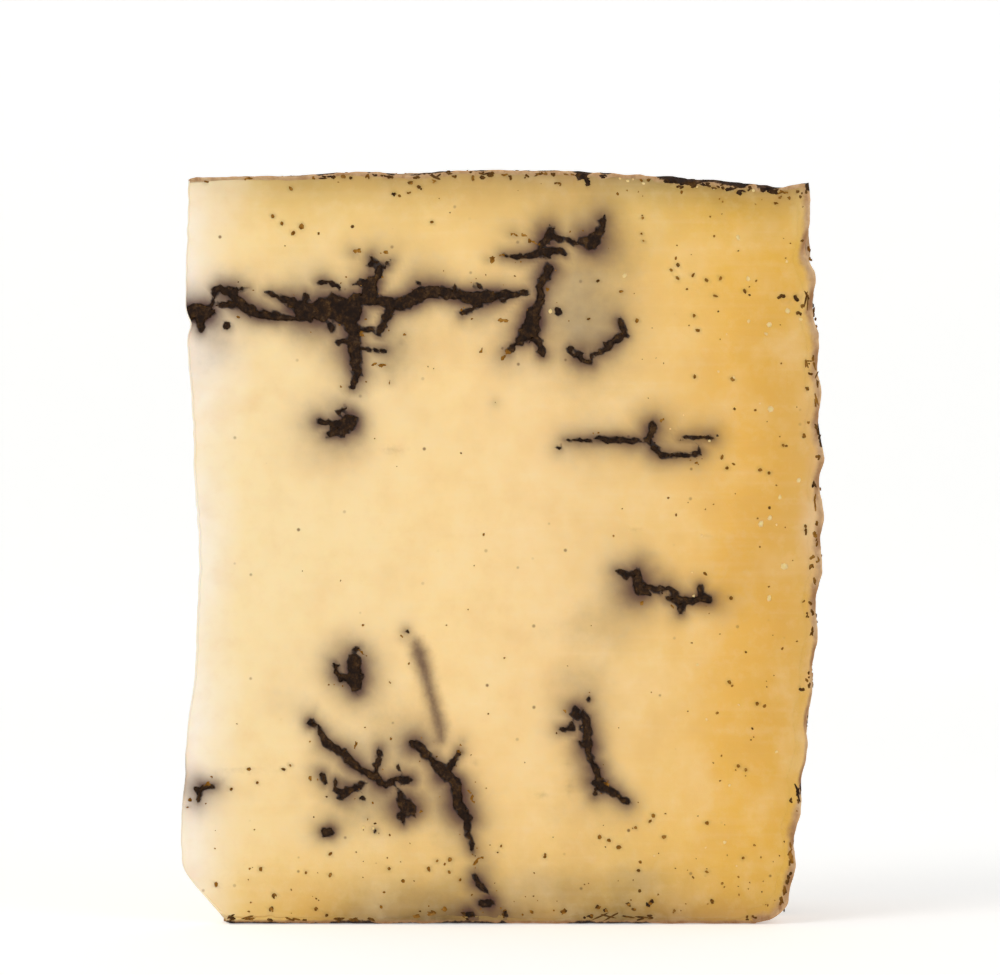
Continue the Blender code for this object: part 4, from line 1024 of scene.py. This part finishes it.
def rind_material(colours):
    """Natural rind, pressed in a basket mould and rubbed with truffle: dry and matt, tan where it
    is bare and brown-black where the coat still sits, with the cheese's own colour at its cut."""
    material, shader = new_material("cheese rind basket moulded", 0.78, 0.25)
    place = add(material, "ShaderNodeTexCoord").outputs["Object"]
    inner, rubbed, coated, speckled, hollow, crest, footed = masks(material, (
        ("skin_depth", 1.8, 0.7, 0.45, 1.8), ("skin_depth", 1.1, 0.4, 0.1, 0.5),
        ("coat_over", 0.6, 0.4, -0.05, 0.2), ("coat_over", 0.35, 0.75, 0.45, 0.62),
        ("hollow", 1.6, 0.3, 0.0, 0.8), ("hollow", 1.6, 0.3, -0.1, -0.9),
        ("near_base", 1.0, 0.1, 0.78, 1.0)))
    rubbed, hollow, crest, footed = (
        add(material, "ShaderNodeMath", {0: share, 1: most}, operation="MULTIPLY").outputs[0]
        for share, most in ((rubbed, 0.25), (hollow, 0.55), (crest, 0.35), (footed, 0.6)))
    mottle = add(material, "ShaderNodeTexNoise", {"Vector": place, "Scale": 1.0 / (1.6 * MM),
                                                  "Detail": 7.0, "Roughness": 0.7}).outputs["Fac"]
    bare = add(material, "ShaderNodeValToRGB", {"Fac": mottle}, (
        (0.30, "#9A7248"), (0.45, "#C0986C"), (0.58, "#D2AE84"), (0.72, "#E2C8A2"))).outputs["Color"]
    soot = add(material, "ShaderNodeValToRGB", {"Fac": mottle}, (
        (0.30, "#160E0A"), (0.50, "#2E1E15"), (0.62, "#5A3F2A"), (0.75, "#8A6C4C"))).outputs["Color"]
    drawn_out = add(material, "ShaderNodeMapping", {"Vector": place, "Scale": (1.0, 1.0, 0.4)})
    smudge = add(material, "ShaderNodeTexNoise", {"Vector": drawn_out.outputs[0], "Detail": 4.0,
                                                  "Scale": 1.0 / (1.3 * MM)}).outputs["Fac"]
    smudge = add(material, "ShaderNodeMapRange", {"Value": smudge, "From Min": 0.55, "From Max": 0.7,
                                                  "To Max": 0.6}).outputs["Result"]
    tinted = layered(material, bare, ((0.25, colours.bare), (smudge, linear("#8A5A34"))))
    darkened = layered(material, soot, ((0.25, colours.coat),))
    colour = layered(material, tinted, (
        (hollow, linear("#84542E")), (crest, linear("#DCC09A")), (rubbed, linear("#8A5F34")),
        (footed, linear("#7A4C28")), (inner, cheese_colour(material)), (speckled, darkened),
        (coated, darkened)))
    grit = add(material, "ShaderNodeTexNoise", {"Vector": place, "Scale": 1.0 / (0.8 * MM),
                                                "Detail": 8.0, "Roughness": 0.75}).outputs["Fac"]
    bump = add(material, "ShaderNodeBump", {"Strength": 0.7, "Distance": 0.25 * MM, "Height": grit})
    return finish_surface(material, shader, colour, bump, 0.12)


def paste_material(colours):
    """Truffle paste, minced in oil: nearly black, moist crumbs, brown where the paste is thin."""
    material, shader = new_material("truffle paste minced in oil", 0.6, 0.1)
    place = add(material, "ShaderNodeTexCoord").outputs["Object"]
    brown, = masks(material, (("brown", 0.9, 0.2, -0.05, 0.55),))
    crumbs = add(material, "ShaderNodeTexNoise", {"Vector": place, "Scale": 1.0 / (1.0 * MM),
                                                  "Detail": 6.0, "Roughness": 0.7}).outputs["Fac"]
    dark = add(material, "ShaderNodeValToRGB", {"Fac": crumbs}, (
        (0.38, "#0F0705"), (0.50, "#1E120A"), (0.58, "#322012"), (0.70, "#54402C"))).outputs["Color"]
    thin = add(material, "ShaderNodeValToRGB", {"Fac": crumbs}, (
        (0.35, "#66400E"), (0.50, "#8E5E1A"), (0.68, "#B2823A"))).outputs["Color"]
    colour = layered(material, dark, ((0.3, colours.paste), (brown, thin)))
    bump = add(material, "ShaderNodeBump", {"Strength": 0.8, "Distance": 0.2 * MM, "Height": crumbs})
    return finish_surface(material, shader, colour, bump)


def crystal_material(colours):
    """Crystals grown in the ripening cheese: pale, waxy grains that glow a little."""
    material, shader = new_material("cheese crystals grown", 0.45, 0.4)
    place = add(material, "ShaderNodeTexCoord").outputs["Object"]
    cloud = add(material, "ShaderNodeTexNoise", {"Vector": place, "Scale": 1.0 / (0.6 * MM),
                                                 "Detail": 3.0}).outputs["Fac"]
    share = add(material, "ShaderNodeMapRange", {"Value": cloud, "From Min": 0.3, "From Max": 0.8,
                                                 "To Max": 0.6}).outputs["Result"]
    colour = layered(material, (*colours.crystal, 1.0), ((share, linear("#F0C06C")),))
    return finish_surface(material, shader, colour, weight=0.4, radius=(1.0, 0.7, 0.4))


def edge_shares(radius, angle, height):
    """How near points are to the top and to the base, for the duller cheese there: each share
    falls to about a third over its reach."""
    below_top = np.maximum(top_height(radius, angle) - height, 0.0)
    return {"near_top": np.exp(-below_top / TOP_REACH), "near_base": np.exp(-height / BASE_REACH)}


def face_stains(radius, height, back, sizes):
    """The stains of one cut face: the gap to the paste, the halo round it, the grey and olive
    clouds, with a small olive one round each speck, and the front's buried vein."""
    grey, olive = SPOTS[back][:2]
    specks = [(spot[0], spot[1], 0.35 + 1.3 * spot[2], 0.3 + 1.1 * spot[2], SPECK_STAIN)
              for spot in on_both(SPECKS, back)]
    bits = [(bit[0], bit[1], 0.3 + 1.2 * bit[2], 0.3 + 1.2 * bit[3], SPECK_STAIN)
            for bit in EDGE_BITS]
    buried = np.zeros(np.shape(radius))
    if not back:
        buried = ramp(0.5 - stroke_gap(radius, height, BURIED_VEIN) / BURIED_SOFTNESS)
    gap = ragged_gap(radius, height, STROKES[back], sizes.ragged / MM)
    halo = np.maximum(stroke_halo(radius, height, STROKES[back]),
                      BROWN_HALO * stroke_halo(radius, height, BROWN_STROKES[back]))
    return {"vein_gap": gap, "halo": halo, "grey": clouds(radius, height, grey),
            "olive": clouds(radius, height, [*olive, *specks, *bits]), "buried": buried}


def make_cut_body(sizes, colours):
    """The cheese inside its rind: the skin of a block of cells, carried to its place on the wheel.
    Its outside lies under the rind, and its two cut faces carry the crevices."""
    places, faces = box_surface(BODY_CELLS)
    outward, turn, rise = (places / np.array(BODY_CELLS)).T
    radius, angle, height = on_wheel(outward, turn, rise, sizes, BODY_INSET, BODY_INSET)
    depths = {back: np.where(places[:, 1] == (BODY_CELLS[1] if back else 0),
                             cut_depth(radius, height, back, sizes), 0.0) for back in (False, True)}
    points = in_frame(radius, angle, height, depths[False], depths[True])
    stains = {back: face_stains(radius, height, back, sizes) for back in (False, True)}
    attributes = {label: np.where(turn > 0.5, stains[True][label], stains[False][label])
                  for label in stains[False]}
    attributes.update(edge_shares(radius, angle, height))
    body = make_piece("cut_cheese_body", points, faces, cut_cheese_material(colours),
                      attributes)
    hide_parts(NODE)
    return body


def coat_thickness(radius, angle, height, side):
    """Thickness in mm of the rind's dark coat, below 0 where it is worn off: keyed beside the front
    cut, and in patches of three sizes of lumps beyond it. Side is 0 on the base, 1 on the barrel
    and 2 on the top."""
    arc = radius * angle
    around = np.where(side == 1, height, radius)
    keyed = np.select([side == 0, side == 1], [eased(radius, BASE_COAT), eased(height, RIM_COAT)],
                      eased(radius, TOP_COAT))
    offset = 40.0 * side
    patches = (0.55 * lumps(arc + offset, around, 11.0, 31)
               + 0.4 * lumps(arc + offset, around, 4.0, 32)
               + 0.3 * lumps(arc + offset, around, 1.6, 33) - 0.12
               - np.where(side == 1, 0.35 * weave(arc, height), 0.0))
    return keyed + (patches - keyed) * ramp((arc - 1.0) / COAT_REACH)


def make_rind(sizes, colours):
    """The rind: a closed sheet that runs along the base, up the barrel and back along the top, and
    from one cut to the other. Its outside carries the basket's marks and the crust."""
    flat = np.linspace(0.0, 1.0, RIND_FLAT_CELLS + 1)
    barrel = np.linspace(0.0, 1.0, RIND_BARREL_CELLS + 1)
    turns = np.linspace(0.0, 1.0, RIND_TURN_CELLS + 1)
    outward = np.concatenate([flat, np.ones(RIND_BARREL_CELLS), flat[-2::-1]])
    rise = np.concatenate([np.zeros(RIND_FLAT_CELLS), barrel, np.ones(RIND_FLAT_CELLS)])
    side = np.repeat((0, 1, 2), (RIND_FLAT_CELLS, RIND_BARREL_CELLS + 1, RIND_FLAT_CELLS))
    outward, turn = np.meshgrid(outward, turns, indexing="ij")
    rise, side = (np.repeat(values[:, None], len(turns), axis=1) for values in (rise, side))
    radius, angle, height = on_wheel(outward, turn, rise, sizes, 0.0, 0.0)
    coat = coat_thickness(radius, angle, height, side)
    arc = radius * angle
    around = np.where(side == 1, height, radius)
    rough = (0.56 + 0.3 * lumps(arc, around, 2.6, 41) + 0.25 * lumps(arc, around, 1.2, 42)
             ) * sizes.crust / MM
    skin = np.where(side == 1, BARREL_SKIN, FLAT_SKIN) + np.maximum(coat, 0.0)
    skin = skin + 0.12 * lumps(around, arc, 1.5, 43)
    layers = []
    shares = []
    for inset, base_inset in ((rough, 0.4 * rough), (skin, skin)):
        drawn, turned, level = on_wheel(outward, turn, rise, sizes, inset, base_inset)
        front = np.where(turn == 0.0, cut_depth(drawn, level, False, sizes) - PROUD, 0.0)
        back = np.where(turn == 1.0, cut_depth(drawn, level, True, sizes) - PROUD, 0.0)
        layers.append(in_frame(drawn, turned, level, front, back))
        shares.append(edge_shares(drawn, turned, level))
    cells = np.ones((radius.shape[0] - 1, radius.shape[1] - 1), dtype=bool)
    points, faces, used = thick_sheet(*layers, cells)
    hollow = np.where(side == 1, -weave(arc, height), 0.0)
    depth = skin * np.select([side == 0, side == 1], [BASE_FADE, eased(height, RIND_FADES)], 1.0)
    both = {"skin_depth": (0.0 * skin, depth), "coat_over": (coat, coat - skin),
            "hollow": (hollow, 0.0 * skin)}
    both.update({label: (shares[0][label], shares[1][label]) for label in shares[0]})
    attributes = {label: np.concatenate([upper.ravel(), lower.ravel()])[used]
                  for label, (upper, lower) in both.items()}
    rind = make_piece("moulded_rind", points, faces, rind_material(colours),
                      attributes)
    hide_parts(NODE)
    return rind


def drawn_depth(radius, height, back, sizes):
    """Depth of the drawn cut face at points of it: the body's own cells, blended evenly between
    their four corners, so that what lies on the face follows the face as it is drawn."""
    columns, _, rows = BODY_CELLS
    turn = 1.0 if back else 0.0
    outward, rise = np.meshgrid(np.arange(columns + 1) / columns, np.arange(rows + 1) / rows)
    grid = on_wheel(outward, np.full(outward.shape, turn), rise, sizes, BODY_INSET, BODY_INSET)
    depth = cut_depth(grid[0], grid[2], back, sizes)
    angle = turn * WEDGE_ANGLE
    share_z = (height - BODY_INSET) / (top_height(radius, angle) - 2.0 * BODY_INSET)
    level = share_z * WHEEL_HEIGHT
    tip = drawn_tip(level)
    rim = rim_radius(level, np.full(np.shape(level), angle), sizes) - BODY_INSET
    share_r = (radius - tip) / (rim - tip)
    column = np.clip(share_r * columns, 0.0, columns - 1e-6)
    row = np.clip(share_z * rows, 0.0, rows - 1e-6)
    left, low = column.astype(int), row.astype(int)
    across, up = column - left, row - low
    below = depth[low, left] * (1.0 - across) + depth[low, left + 1] * across
    above = depth[low + 1, left] * (1.0 - across) + depth[low + 1, left + 1] * across
    inside = (share_r > 0.0) & (share_r < 1.0) & (share_z > 0.004) & (share_z < 0.996)
    return below * (1.0 - up) + above * up, inside


def make_paste(back, sizes, material):
    """The paste in one face's crevices: a closed sheet over the cells that its ragged strokes
    cover. Its crumbs stand in the crevice, and its edge dives under the cheese. Where the wedge is
    thin, it stays in the half towards its own face."""
    across = np.arange(1.0, BELLY_RADIUS, PASTE_CELL)
    up = np.arange(0.7, WHEEL_HEIGHT - 0.7, PASTE_CELL)
    radius, height = np.meshgrid(across, up)
    ragged = sizes.ragged / MM
    dark_gap = ragged_gap(radius, height, STROKES[back], ragged)
    brown_gap = ragged_gap(radius, height, BROWN_STROKES[back], ragged)
    gap = np.minimum(dark_gap, brown_gap)
    face, inside = drawn_depth(radius, height, back, sizes)
    crumbs = (0.5 + 0.3 * lumps(radius, height, 1.3, 51) + 0.25 * lumps(radius, height, 0.6, 52))
    depth = np.minimum(sizes.recess / MM + crumbs * sizes.crumb / MM, face - PASTE_BELOW)
    depth = np.where(brown_gap < dark_gap, face - BROWN_BELOW, depth)
    middle = PASTE_SHARE * radius * math.tan(WEDGE_ANGLE)
    dive = PASTE_DIVE * ramp(0.5 + (gap + PASTE_INSIDE) / PASTE_DIVE_WIDTH)
    depth = np.minimum(depth + dive, middle - LEAST_PASTE)
    covered = (gap < PASTE_EDGE) & inside
    cells = covered[:-1, :-1] & covered[:-1, 1:] & covered[1:, :-1] & covered[1:, 1:]
    cells = without_corner_touches(cells)
    angle = np.full(radius.shape, WEDGE_ANGLE if back else 0.0)
    under = np.minimum(face + PASTE_FLOOR, middle)
    sheets = []
    for level in (depth, under):
        front, behind = (0.0, level) if back else (level, 0.0)
        sheets.append(in_frame(radius, angle, height, front, behind))
    fringe, fringe_width = PASTE_FRINGE
    brown = np.maximum(ramp(0.5 + (dark_gap - brown_gap) / 0.3),
                       fringe * ramp(1.0 + gap / fringe_width))
    if back:
        sheets = [sheet[:, ::-1] for sheet in sheets]
        cells, brown = cells[:, ::-1], brown[:, ::-1]
    points, faces, used = thick_sheet(*sheets, cells)
    name = "truffle_paste_back" if back else "truffle_paste_front"
    paste = make_piece(name, points, faces, material,
                       {"brown": np.tile(brown.ravel(), 2)[used]})
    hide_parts(NODE)
    return paste


def blob_points(centres, first, second, out, reach, spin, rng):
    """Small lumps: each a ball of three rings of six points and two poles, stretched along its own
    three axes, turned round the outward one by its spin and made uneven at random. Gives the
    points, the three-sided faces and the count of points in a lump."""
    down, round_ = np.meshgrid(np.arange(1, 4) * math.pi / 4.0, np.arange(6) * math.pi / 3.0,
                               indexing="ij")
    rings = np.stack([np.sin(down) * np.cos(round_), np.sin(down) * np.sin(round_), np.cos(down)],
                     axis=-1).reshape(-1, 3)
    ball = np.concatenate([[(0.0, 0.0, 1.0)], rings, [(0.0, 0.0, -1.0)]])
    here = np.arange(6)
    beside = (here + 1) % 6
    caps = [np.stack([0 * here, 1 + here, 1 + beside], axis=1),
            np.stack([0 * here + 19, 13 + beside, 13 + here], axis=1)]
    bands = [np.stack(corners, axis=1) for start in (1, 7)
             for corners in ((start + here, start + 6 + here, start + 6 + beside),
                             (start + here, start + 6 + beside, start + beside))]
    faces = np.concatenate(caps + bands)
    uneven = rng.uniform(LUMP_LEAST, LUMP_MOST, (len(centres), len(ball), 1))
    cosine, sine = np.cos(spin)[:, None], np.sin(spin)[:, None]
    turned_first = cosine * first + sine * second
    turned_second = cosine * second - sine * first
    axes = np.stack([turned_first, turned_second, out], axis=1)
    points = centres[:, None, :] + (ball * reach[:, None, :] * uneven) @ axes
    numbers = faces[None] + (np.arange(len(centres)) * len(ball))[:, None, None]
    return points.reshape(-1, 3), numbers.reshape(-1, 3), len(ball)


def on_face(radius, height, back, sizes, lift):
    """Places and axes, right-handed with the last one outwards, of points on a cut face, lifted
    off it by a little."""
    depth, _ = drawn_depth(radius, height, back, sizes)
    depth = depth - lift
    angle = np.full(radius.shape, WEDGE_ANGLE if back else 0.0)
    zero = np.zeros(radius.shape)
    places = in_frame(radius, angle, height, zero if back else depth, depth if back else zero)
    sine, cosine = math.sin(WEDGE_ANGLE), math.cos(WEDGE_ANGLE)
    along, out = (1.0, 0.0, 0.0), (0.0, -1.0, 0.0)
    if back:
        along, out = (-cosine, -sine, 0.0), (-sine, cosine, 0.0)
    up = (0.0, 0.0, 1.0)
    return places, *(np.tile(axis, (len(radius), 1)) for axis in (along, up, out))


def on_both(spots, back):
    """Spots of the front face as an array, or bent over to the back face as on_back does."""
    if back:
        bent = on_back((spot[:3],) for spot in spots)
        spots = [turned[0] + spot[3:] for spot, turned in zip(spots, bent)]
    return np.array(spots)


def clustered(bits, rng):
    """Bits as clusters: each gives way to some smaller ones, scattered over its ellipse."""
    bits = np.repeat(np.array(bits), BITS_IN_CLUSTER, axis=0)
    bits[:, :2] += bits[:, 2:4] * rng.normal(0.0, 0.5, (len(bits), 2))
    smaller = bits[:, 2:4] * rng.uniform(0.45, 0.95, (len(bits), 2))
    bits[:, 2:4] = np.maximum(smaller, LEAST_BIT)
    return bits


def speck_places(back, rng, sizes):
    """Specks of one cut face as radius, height, half-width, half-height, tone and spin: the placed
    ones, strays, which are closer together near the base, the top, the rind and the paste, and
    clusters of bits along the face's edges, which keep inside the outline."""
    placed = on_both(SPECKS, back)
    radius, height = (rng.uniform(*span, STRAY_SPECKS) for span in STRAY_REGION)
    gap = stroke_gap(radius, height, STROKES[back])
    likely = (STRAY_ANYWHERE + STRAY_BASE[0] * np.exp(-height / STRAY_BASE[1])
              + STRAY_TOP[0] * np.exp((height - STRAY_REGION[1][1]) / STRAY_TOP[1])
              + STRAY_RIND[0] * ramp((radius - STRAY_RIND[1]) / STRAY_RIND[2])
              + STRAY_PASTE[0] * np.exp(-np.abs(gap) / STRAY_PASTE[1])) * (gap > 0.2)
    kept = rng.uniform(0.0, 1.0, STRAY_SPECKS) < STRAY_KEPT * likely
    half = 0.1 + rng.exponential(0.06, STRAY_SPECKS)
    strays = np.stack([radius, height, np.minimum(half, 0.3)], axis=1)[kept]
    spots = np.concatenate([placed, strays])
    level = spots[:, 1]
    angle = WEDGE_ANGLE if back else 0.0
    rim = rim_radius(level, np.full(len(level), angle), sizes)
    from_tip, from_rim, from_base, from_top = SPECK_MARGINS
    inside = ((spots[:, 0] > tip_radius(level) + from_tip) & (spots[:, 0] < rim - from_rim)
              & (level > from_base) & (level < top_height(spots[:, 0], 0.0) - from_top))
    spots = spots[inside]
    count = len(spots)
    across = spots[:, 2] * rng.uniform(0.8, 1.3, count)
    up = spots[:, 2] * rng.uniform(0.6, 1.0, count)
    tone = rng.uniform(0.2, 0.9, count)
    spin = rng.uniform(0.0, 2.0 * math.pi, count)
    spots = np.stack([spots[:, 0], spots[:, 1], across, up, tone, spin], axis=1)
    edge = clustered(EDGE_BITS, rng)
    rim = rim_radius(edge[:, 1], np.full(len(edge), angle), sizes) - BIT_MARGIN
    tip = tip_radius(edge[:, 1]) + BIT_MARGIN
    wide = LUMP_MOST * edge[:, 2]
    edge[:, 0] = np.clip(edge[:, 0], tip + wide, rim - wide)
    top = top_height(edge[:, 0], 0.0) - BIT_TOP_MARGIN
    tall = LUMP_MOST * np.hypot(BIT_TURN * edge[:, 2], edge[:, 3])
    edge[:, 1] = np.clip(edge[:, 1], BIT_BASE_MARGIN + tall, top - tall)
    edge[:, 4] *= BIT_TONE
    edge = np.concatenate([edge, rng.uniform(-BIT_TURN, BIT_TURN, (len(edge), 1))], axis=1)
    return np.concatenate([spots, edge])


def make_crumbs(sizes, material):
    """Single crumbs of truffle: flush with the cut faces, and rubbed into the rind and the top."""
    rng = np.random.default_rng(71)
    groups = []
    for back in (False, True):
        radius, height, across, up_half, tone, spin = speck_places(back, rng, sizes).T
        places, along, up, out = on_face(radius, height, back, sizes, SPECK_LIFT)
        reach = np.stack([across, up_half, np.full(len(across), SPECK_THICKNESS)], axis=1)
        groups.append((places, along, up, out, reach, spin, tone))
    angle = rng.uniform(0.02, 0.98, BARREL_CRUMBS) * WEDGE_ANGLE
    height = rng.uniform(1.5, WHEEL_HEIGHT - 2.5, BARREL_CRUMBS)
    radius = rim_radius(height, angle, sizes) - RIND_CRUMB_SINK
    zero = np.zeros(BARREL_CRUMBS)
    half = rng.uniform(*BARREL_CRUMB, BARREL_CRUMBS)
    groups.append((in_frame(radius, angle, height, zero, zero),
                   np.stack([-np.sin(angle), np.cos(angle), zero], axis=1),
                   np.stack([zero, zero, zero + 1.0], axis=1),
                   np.stack([np.cos(angle), np.sin(angle), zero], axis=1),
                   np.stack([half, 0.7 * half, zero + 0.2], axis=1),
                   rng.uniform(0.0, math.pi, BARREL_CRUMBS),
                   rng.uniform(*RIND_CRUMB_TONE, BARREL_CRUMBS)))
    radius = TOP_CRUMB_REGION * np.sqrt(rng.uniform(0.02, 1.0, TOP_CRUMBS))
    margin = TOP_CRUMB_MARGIN / radius
    angle = margin + rng.uniform(0.0, 1.0, TOP_CRUMBS) * (WEDGE_ANGLE - 2.0 * margin)
    zero = np.zeros(TOP_CRUMBS)
    half = rng.uniform(*TOP_CRUMB, TOP_CRUMBS)
    axes = (np.tile(axis, (TOP_CRUMBS, 1)) for axis in np.eye(3))
    height = top_height(radius, angle) - RIND_CRUMB_SINK
    groups.append((in_frame(radius, angle, height, zero, zero), *axes,
                   np.stack([half, 0.7 * half, zero + 0.16], axis=1),
                   rng.uniform(0.0, math.pi, TOP_CRUMBS),
                   rng.uniform(*RIND_CRUMB_TONE, TOP_CRUMBS)))
    *shapes, tone = (np.concatenate(values) for values in zip(*groups))
    points, faces, count = blob_points(*shapes, rng)
    return make_piece("truffle_crumbs", points, faces, material,
                      {"brown": np.repeat(tone, count)})


def make_crystals(sizes, colours):
    """Pale crystals: low grains in both cut faces, most of them near the rind."""
    rng = np.random.default_rng(83)
    groups = []
    for back in (False, True):
        strays = np.stack([rng.uniform(*span, STRAY_CRYSTALS)
                           for span in (*CRYSTAL_REGION, STRAY_CRYSTAL)], axis=1)
        spots = np.concatenate([on_both(CRYSTALS, back), strays])
        top = top_height(spots[:, 0], 0.0)
        spots = spots[(spots[:, 0] < 104.0) & (spots[:, 1] > 2.0) & (spots[:, 1] < top - 0.7)]
        half = spots[:, 2]
        count = len(spots)
        reach = np.stack([half, half * rng.uniform(0.7, 1.1, count),
                          np.full(count, SPECK_THICKNESS)], axis=1)
        groups.append((*on_face(spots[:, 0], spots[:, 1], back, sizes, CRYSTAL_LIFT), reach,
                       rng.uniform(0.0, math.pi, count)))
    points, faces, _ = blob_points(*(np.concatenate(values) for values in zip(*groups)), rng)
    return make_piece("cheese_crystals", points, faces, crystal_material(colours), {})


def make_stage():
    """A white sweep: a flat floor that curves up into a wall behind, as a profile of floor,
    quarter round and wall carried sideways. Two soft lights, a white room and the camera."""
    bend = np.linspace(0.0, math.pi / 2.0, 24)
    deep = np.concatenate([[FLOOR_NEAR], FLOOR_FAR + SWEEP_RADIUS * np.sin(bend),
                           [FLOOR_FAR + SWEEP_RADIUS]])
    level = np.concatenate([[0.0], SWEEP_RADIUS * (1.0 - np.cos(bend)), [WALL_TOP]])
    side = np.array([-STAGE_HALF_WIDTH, STAGE_HALF_WIDTH])
    across = np.repeat(side[None, :], len(deep), axis=0)
    points = np.stack([across, *(np.repeat(way[:, None], 2, axis=1) for way in (deep, level))],
                      axis=-1)
    number = np.arange(points.size // 3).reshape(points.shape[:2])
    faces = np.stack([number[:-1, 0], number[:-1, 1], number[1:, 1], number[1:, 0]], axis=1)
    points[..., 2] -= FLOOR_GAP
    material, shader = new_material("studio board painted white", 0.9, 0.1)
    shader.inputs["Base Color"].default_value = (*linear("#F7F7F5"), 1.0)
    shader.inputs["Emission Color"].default_value = (1.0, 1.0, 1.0, 1.0)
    shader.inputs["Emission Strength"].default_value = BOARD_GLOW
    sweep = new_object("studio_sweep", points.reshape(-1, 3), faces, material)
    for name, spot, span, power in STUDIO_LIGHTS:
        light = bpy.data.lights.new(name, "AREA")
        light.shape = "DISK"
        light.size = span * MM
        light.energy = power
        lamp = bpy.data.objects.new(name, light)
        bpy.context.scene.collection.objects.link(lamp)
        lamp.location = np.array(spot) * MM
        aim = np.array((0.0, 0.0, CAMERA_HEIGHT * MM)) - np.array(lamp.location)
        lamp.rotation_euler = (math.atan2(math.hypot(aim[0], aim[1]), -aim[2]), 0.0,
                               math.atan2(aim[1], aim[0]) - math.pi / 2.0)
    world = bpy.data.worlds.new("white room")
    world.use_nodes = True
    world.node_tree.nodes["Background"].inputs["Color"].default_value = (1.0, 1.0, 1.0, 1.0)
    world.node_tree.nodes["Background"].inputs["Strength"].default_value = ROOM_LIGHT
    bpy.context.scene.world = world
    bpy.context.scene.view_settings.view_transform = "Standard"
    camera = bpy.data.cameras.new("photo_camera")
    camera.sensor_width = SENSOR_WIDTH
    camera.lens = SENSOR_WIDTH * CAMERA_DISTANCE / FRAME_WIDTH
    viewer = bpy.data.objects.new("photo_camera", camera)
    bpy.context.scene.collection.objects.link(viewer)
    viewer.location = (CAMERA_X * MM, (AXIS_Y - CAMERA_DISTANCE) * MM, CAMERA_HEIGHT * MM)
    viewer.rotation_euler = (math.pi / 2.0, 0.0, 0.0)
    bpy.context.scene.camera = viewer


class CHEESE_OT_cut_body(bpy.types.Operator):
    """Builds the cut cheese inside its rind"""
    bl_idname = "cheese.cut_body"
    bl_label = "Cut cheese"

    def execute(self, context):
        make_cut_body(context.scene.cheese_sizes, context.scene.cheese_colours)
        return {"FINISHED"}


class CHEESE_OT_rind(bpy.types.Operator):
    """Builds the basket-moulded rind"""
    bl_idname = "cheese.rind"
    bl_label = "Moulded rind"

    def execute(self, context):
        make_rind(context.scene.cheese_sizes, context.scene.cheese_colours)
        return {"FINISHED"}


class CHEESE_OT_truffle(bpy.types.Operator):
    """Fills the crevices with truffle paste and scatters its crumbs"""
    bl_idname = "cheese.truffle"
    bl_label = "Truffle paste and crumbs"

    def execute(self, context):
        sizes, colours = context.scene.cheese_sizes, context.scene.cheese_colours
        material = paste_material(colours)
        make_paste(False, sizes, material)
        make_paste(True, sizes, material)
        make_crumbs(sizes, material)
        return {"FINISHED"}


class CHEESE_OT_crystals(bpy.types.Operator):
    """Sets pale crystals into the cut faces"""
    bl_idname = "cheese.crystals"
    bl_label = "Crystals"

    def execute(self, context):
        make_crystals(context.scene.cheese_sizes, context.scene.cheese_colours)
        return {"FINISHED"}


class CHEESE_OT_stage(bpy.types.Operator):
    """Sets up the white sweep, the soft lights and the camera"""
    bl_idname = "cheese.stage"
    bl_label = "Studio"

    def execute(self, context):
        make_stage()
        return {"FINISHED"}


OPERATORS = (CHEESE_OT_cut_body, CHEESE_OT_rind, CHEESE_OT_truffle, CHEESE_OT_crystals,
             CHEESE_OT_stage)


class CHEESE_PT_panel(bpy.types.Panel):
    """Lists the steps that build the wedge, and its sizes and colours"""
    bl_label = "Truffle cheese wedge"
    bl_space_type = "VIEW_3D"
    bl_region_type = "UI"
    bl_category = "Cheese"

    def draw(self, context):
        for operator in OPERATORS:
            self.layout.operator(operator.bl_idname)
        for group in (context.scene.cheese_sizes, context.scene.cheese_colours):
            box = self.layout.box()
            for label in group.__annotations__:
                box.prop(group, label)


CLASSES = (CheeseSizes, CheeseColours, *OPERATORS, CHEESE_PT_panel)


def register():
    for kind in CLASSES:
        bpy.utils.register_class(kind)
    bpy.types.Scene.cheese_sizes = bpy.props.PointerProperty(type=CheeseSizes)
    bpy.types.Scene.cheese_colours = bpy.props.PointerProperty(type=CheeseColours)


def unregister():
    del bpy.types.Scene.cheese_colours
    del bpy.types.Scene.cheese_sizes
    for kind in reversed(CLASSES):
        bpy.utils.unregister_class(kind)


def main():
    """Builds every piece in order."""
    register()
    bpy.ops.cheese.cut_body()
    bpy.ops.cheese.rind()
    bpy.ops.cheese.truffle()
    bpy.ops.cheese.crystals()
    bpy.ops.cheese.stage()


if __name__ == "__main__":
    main()
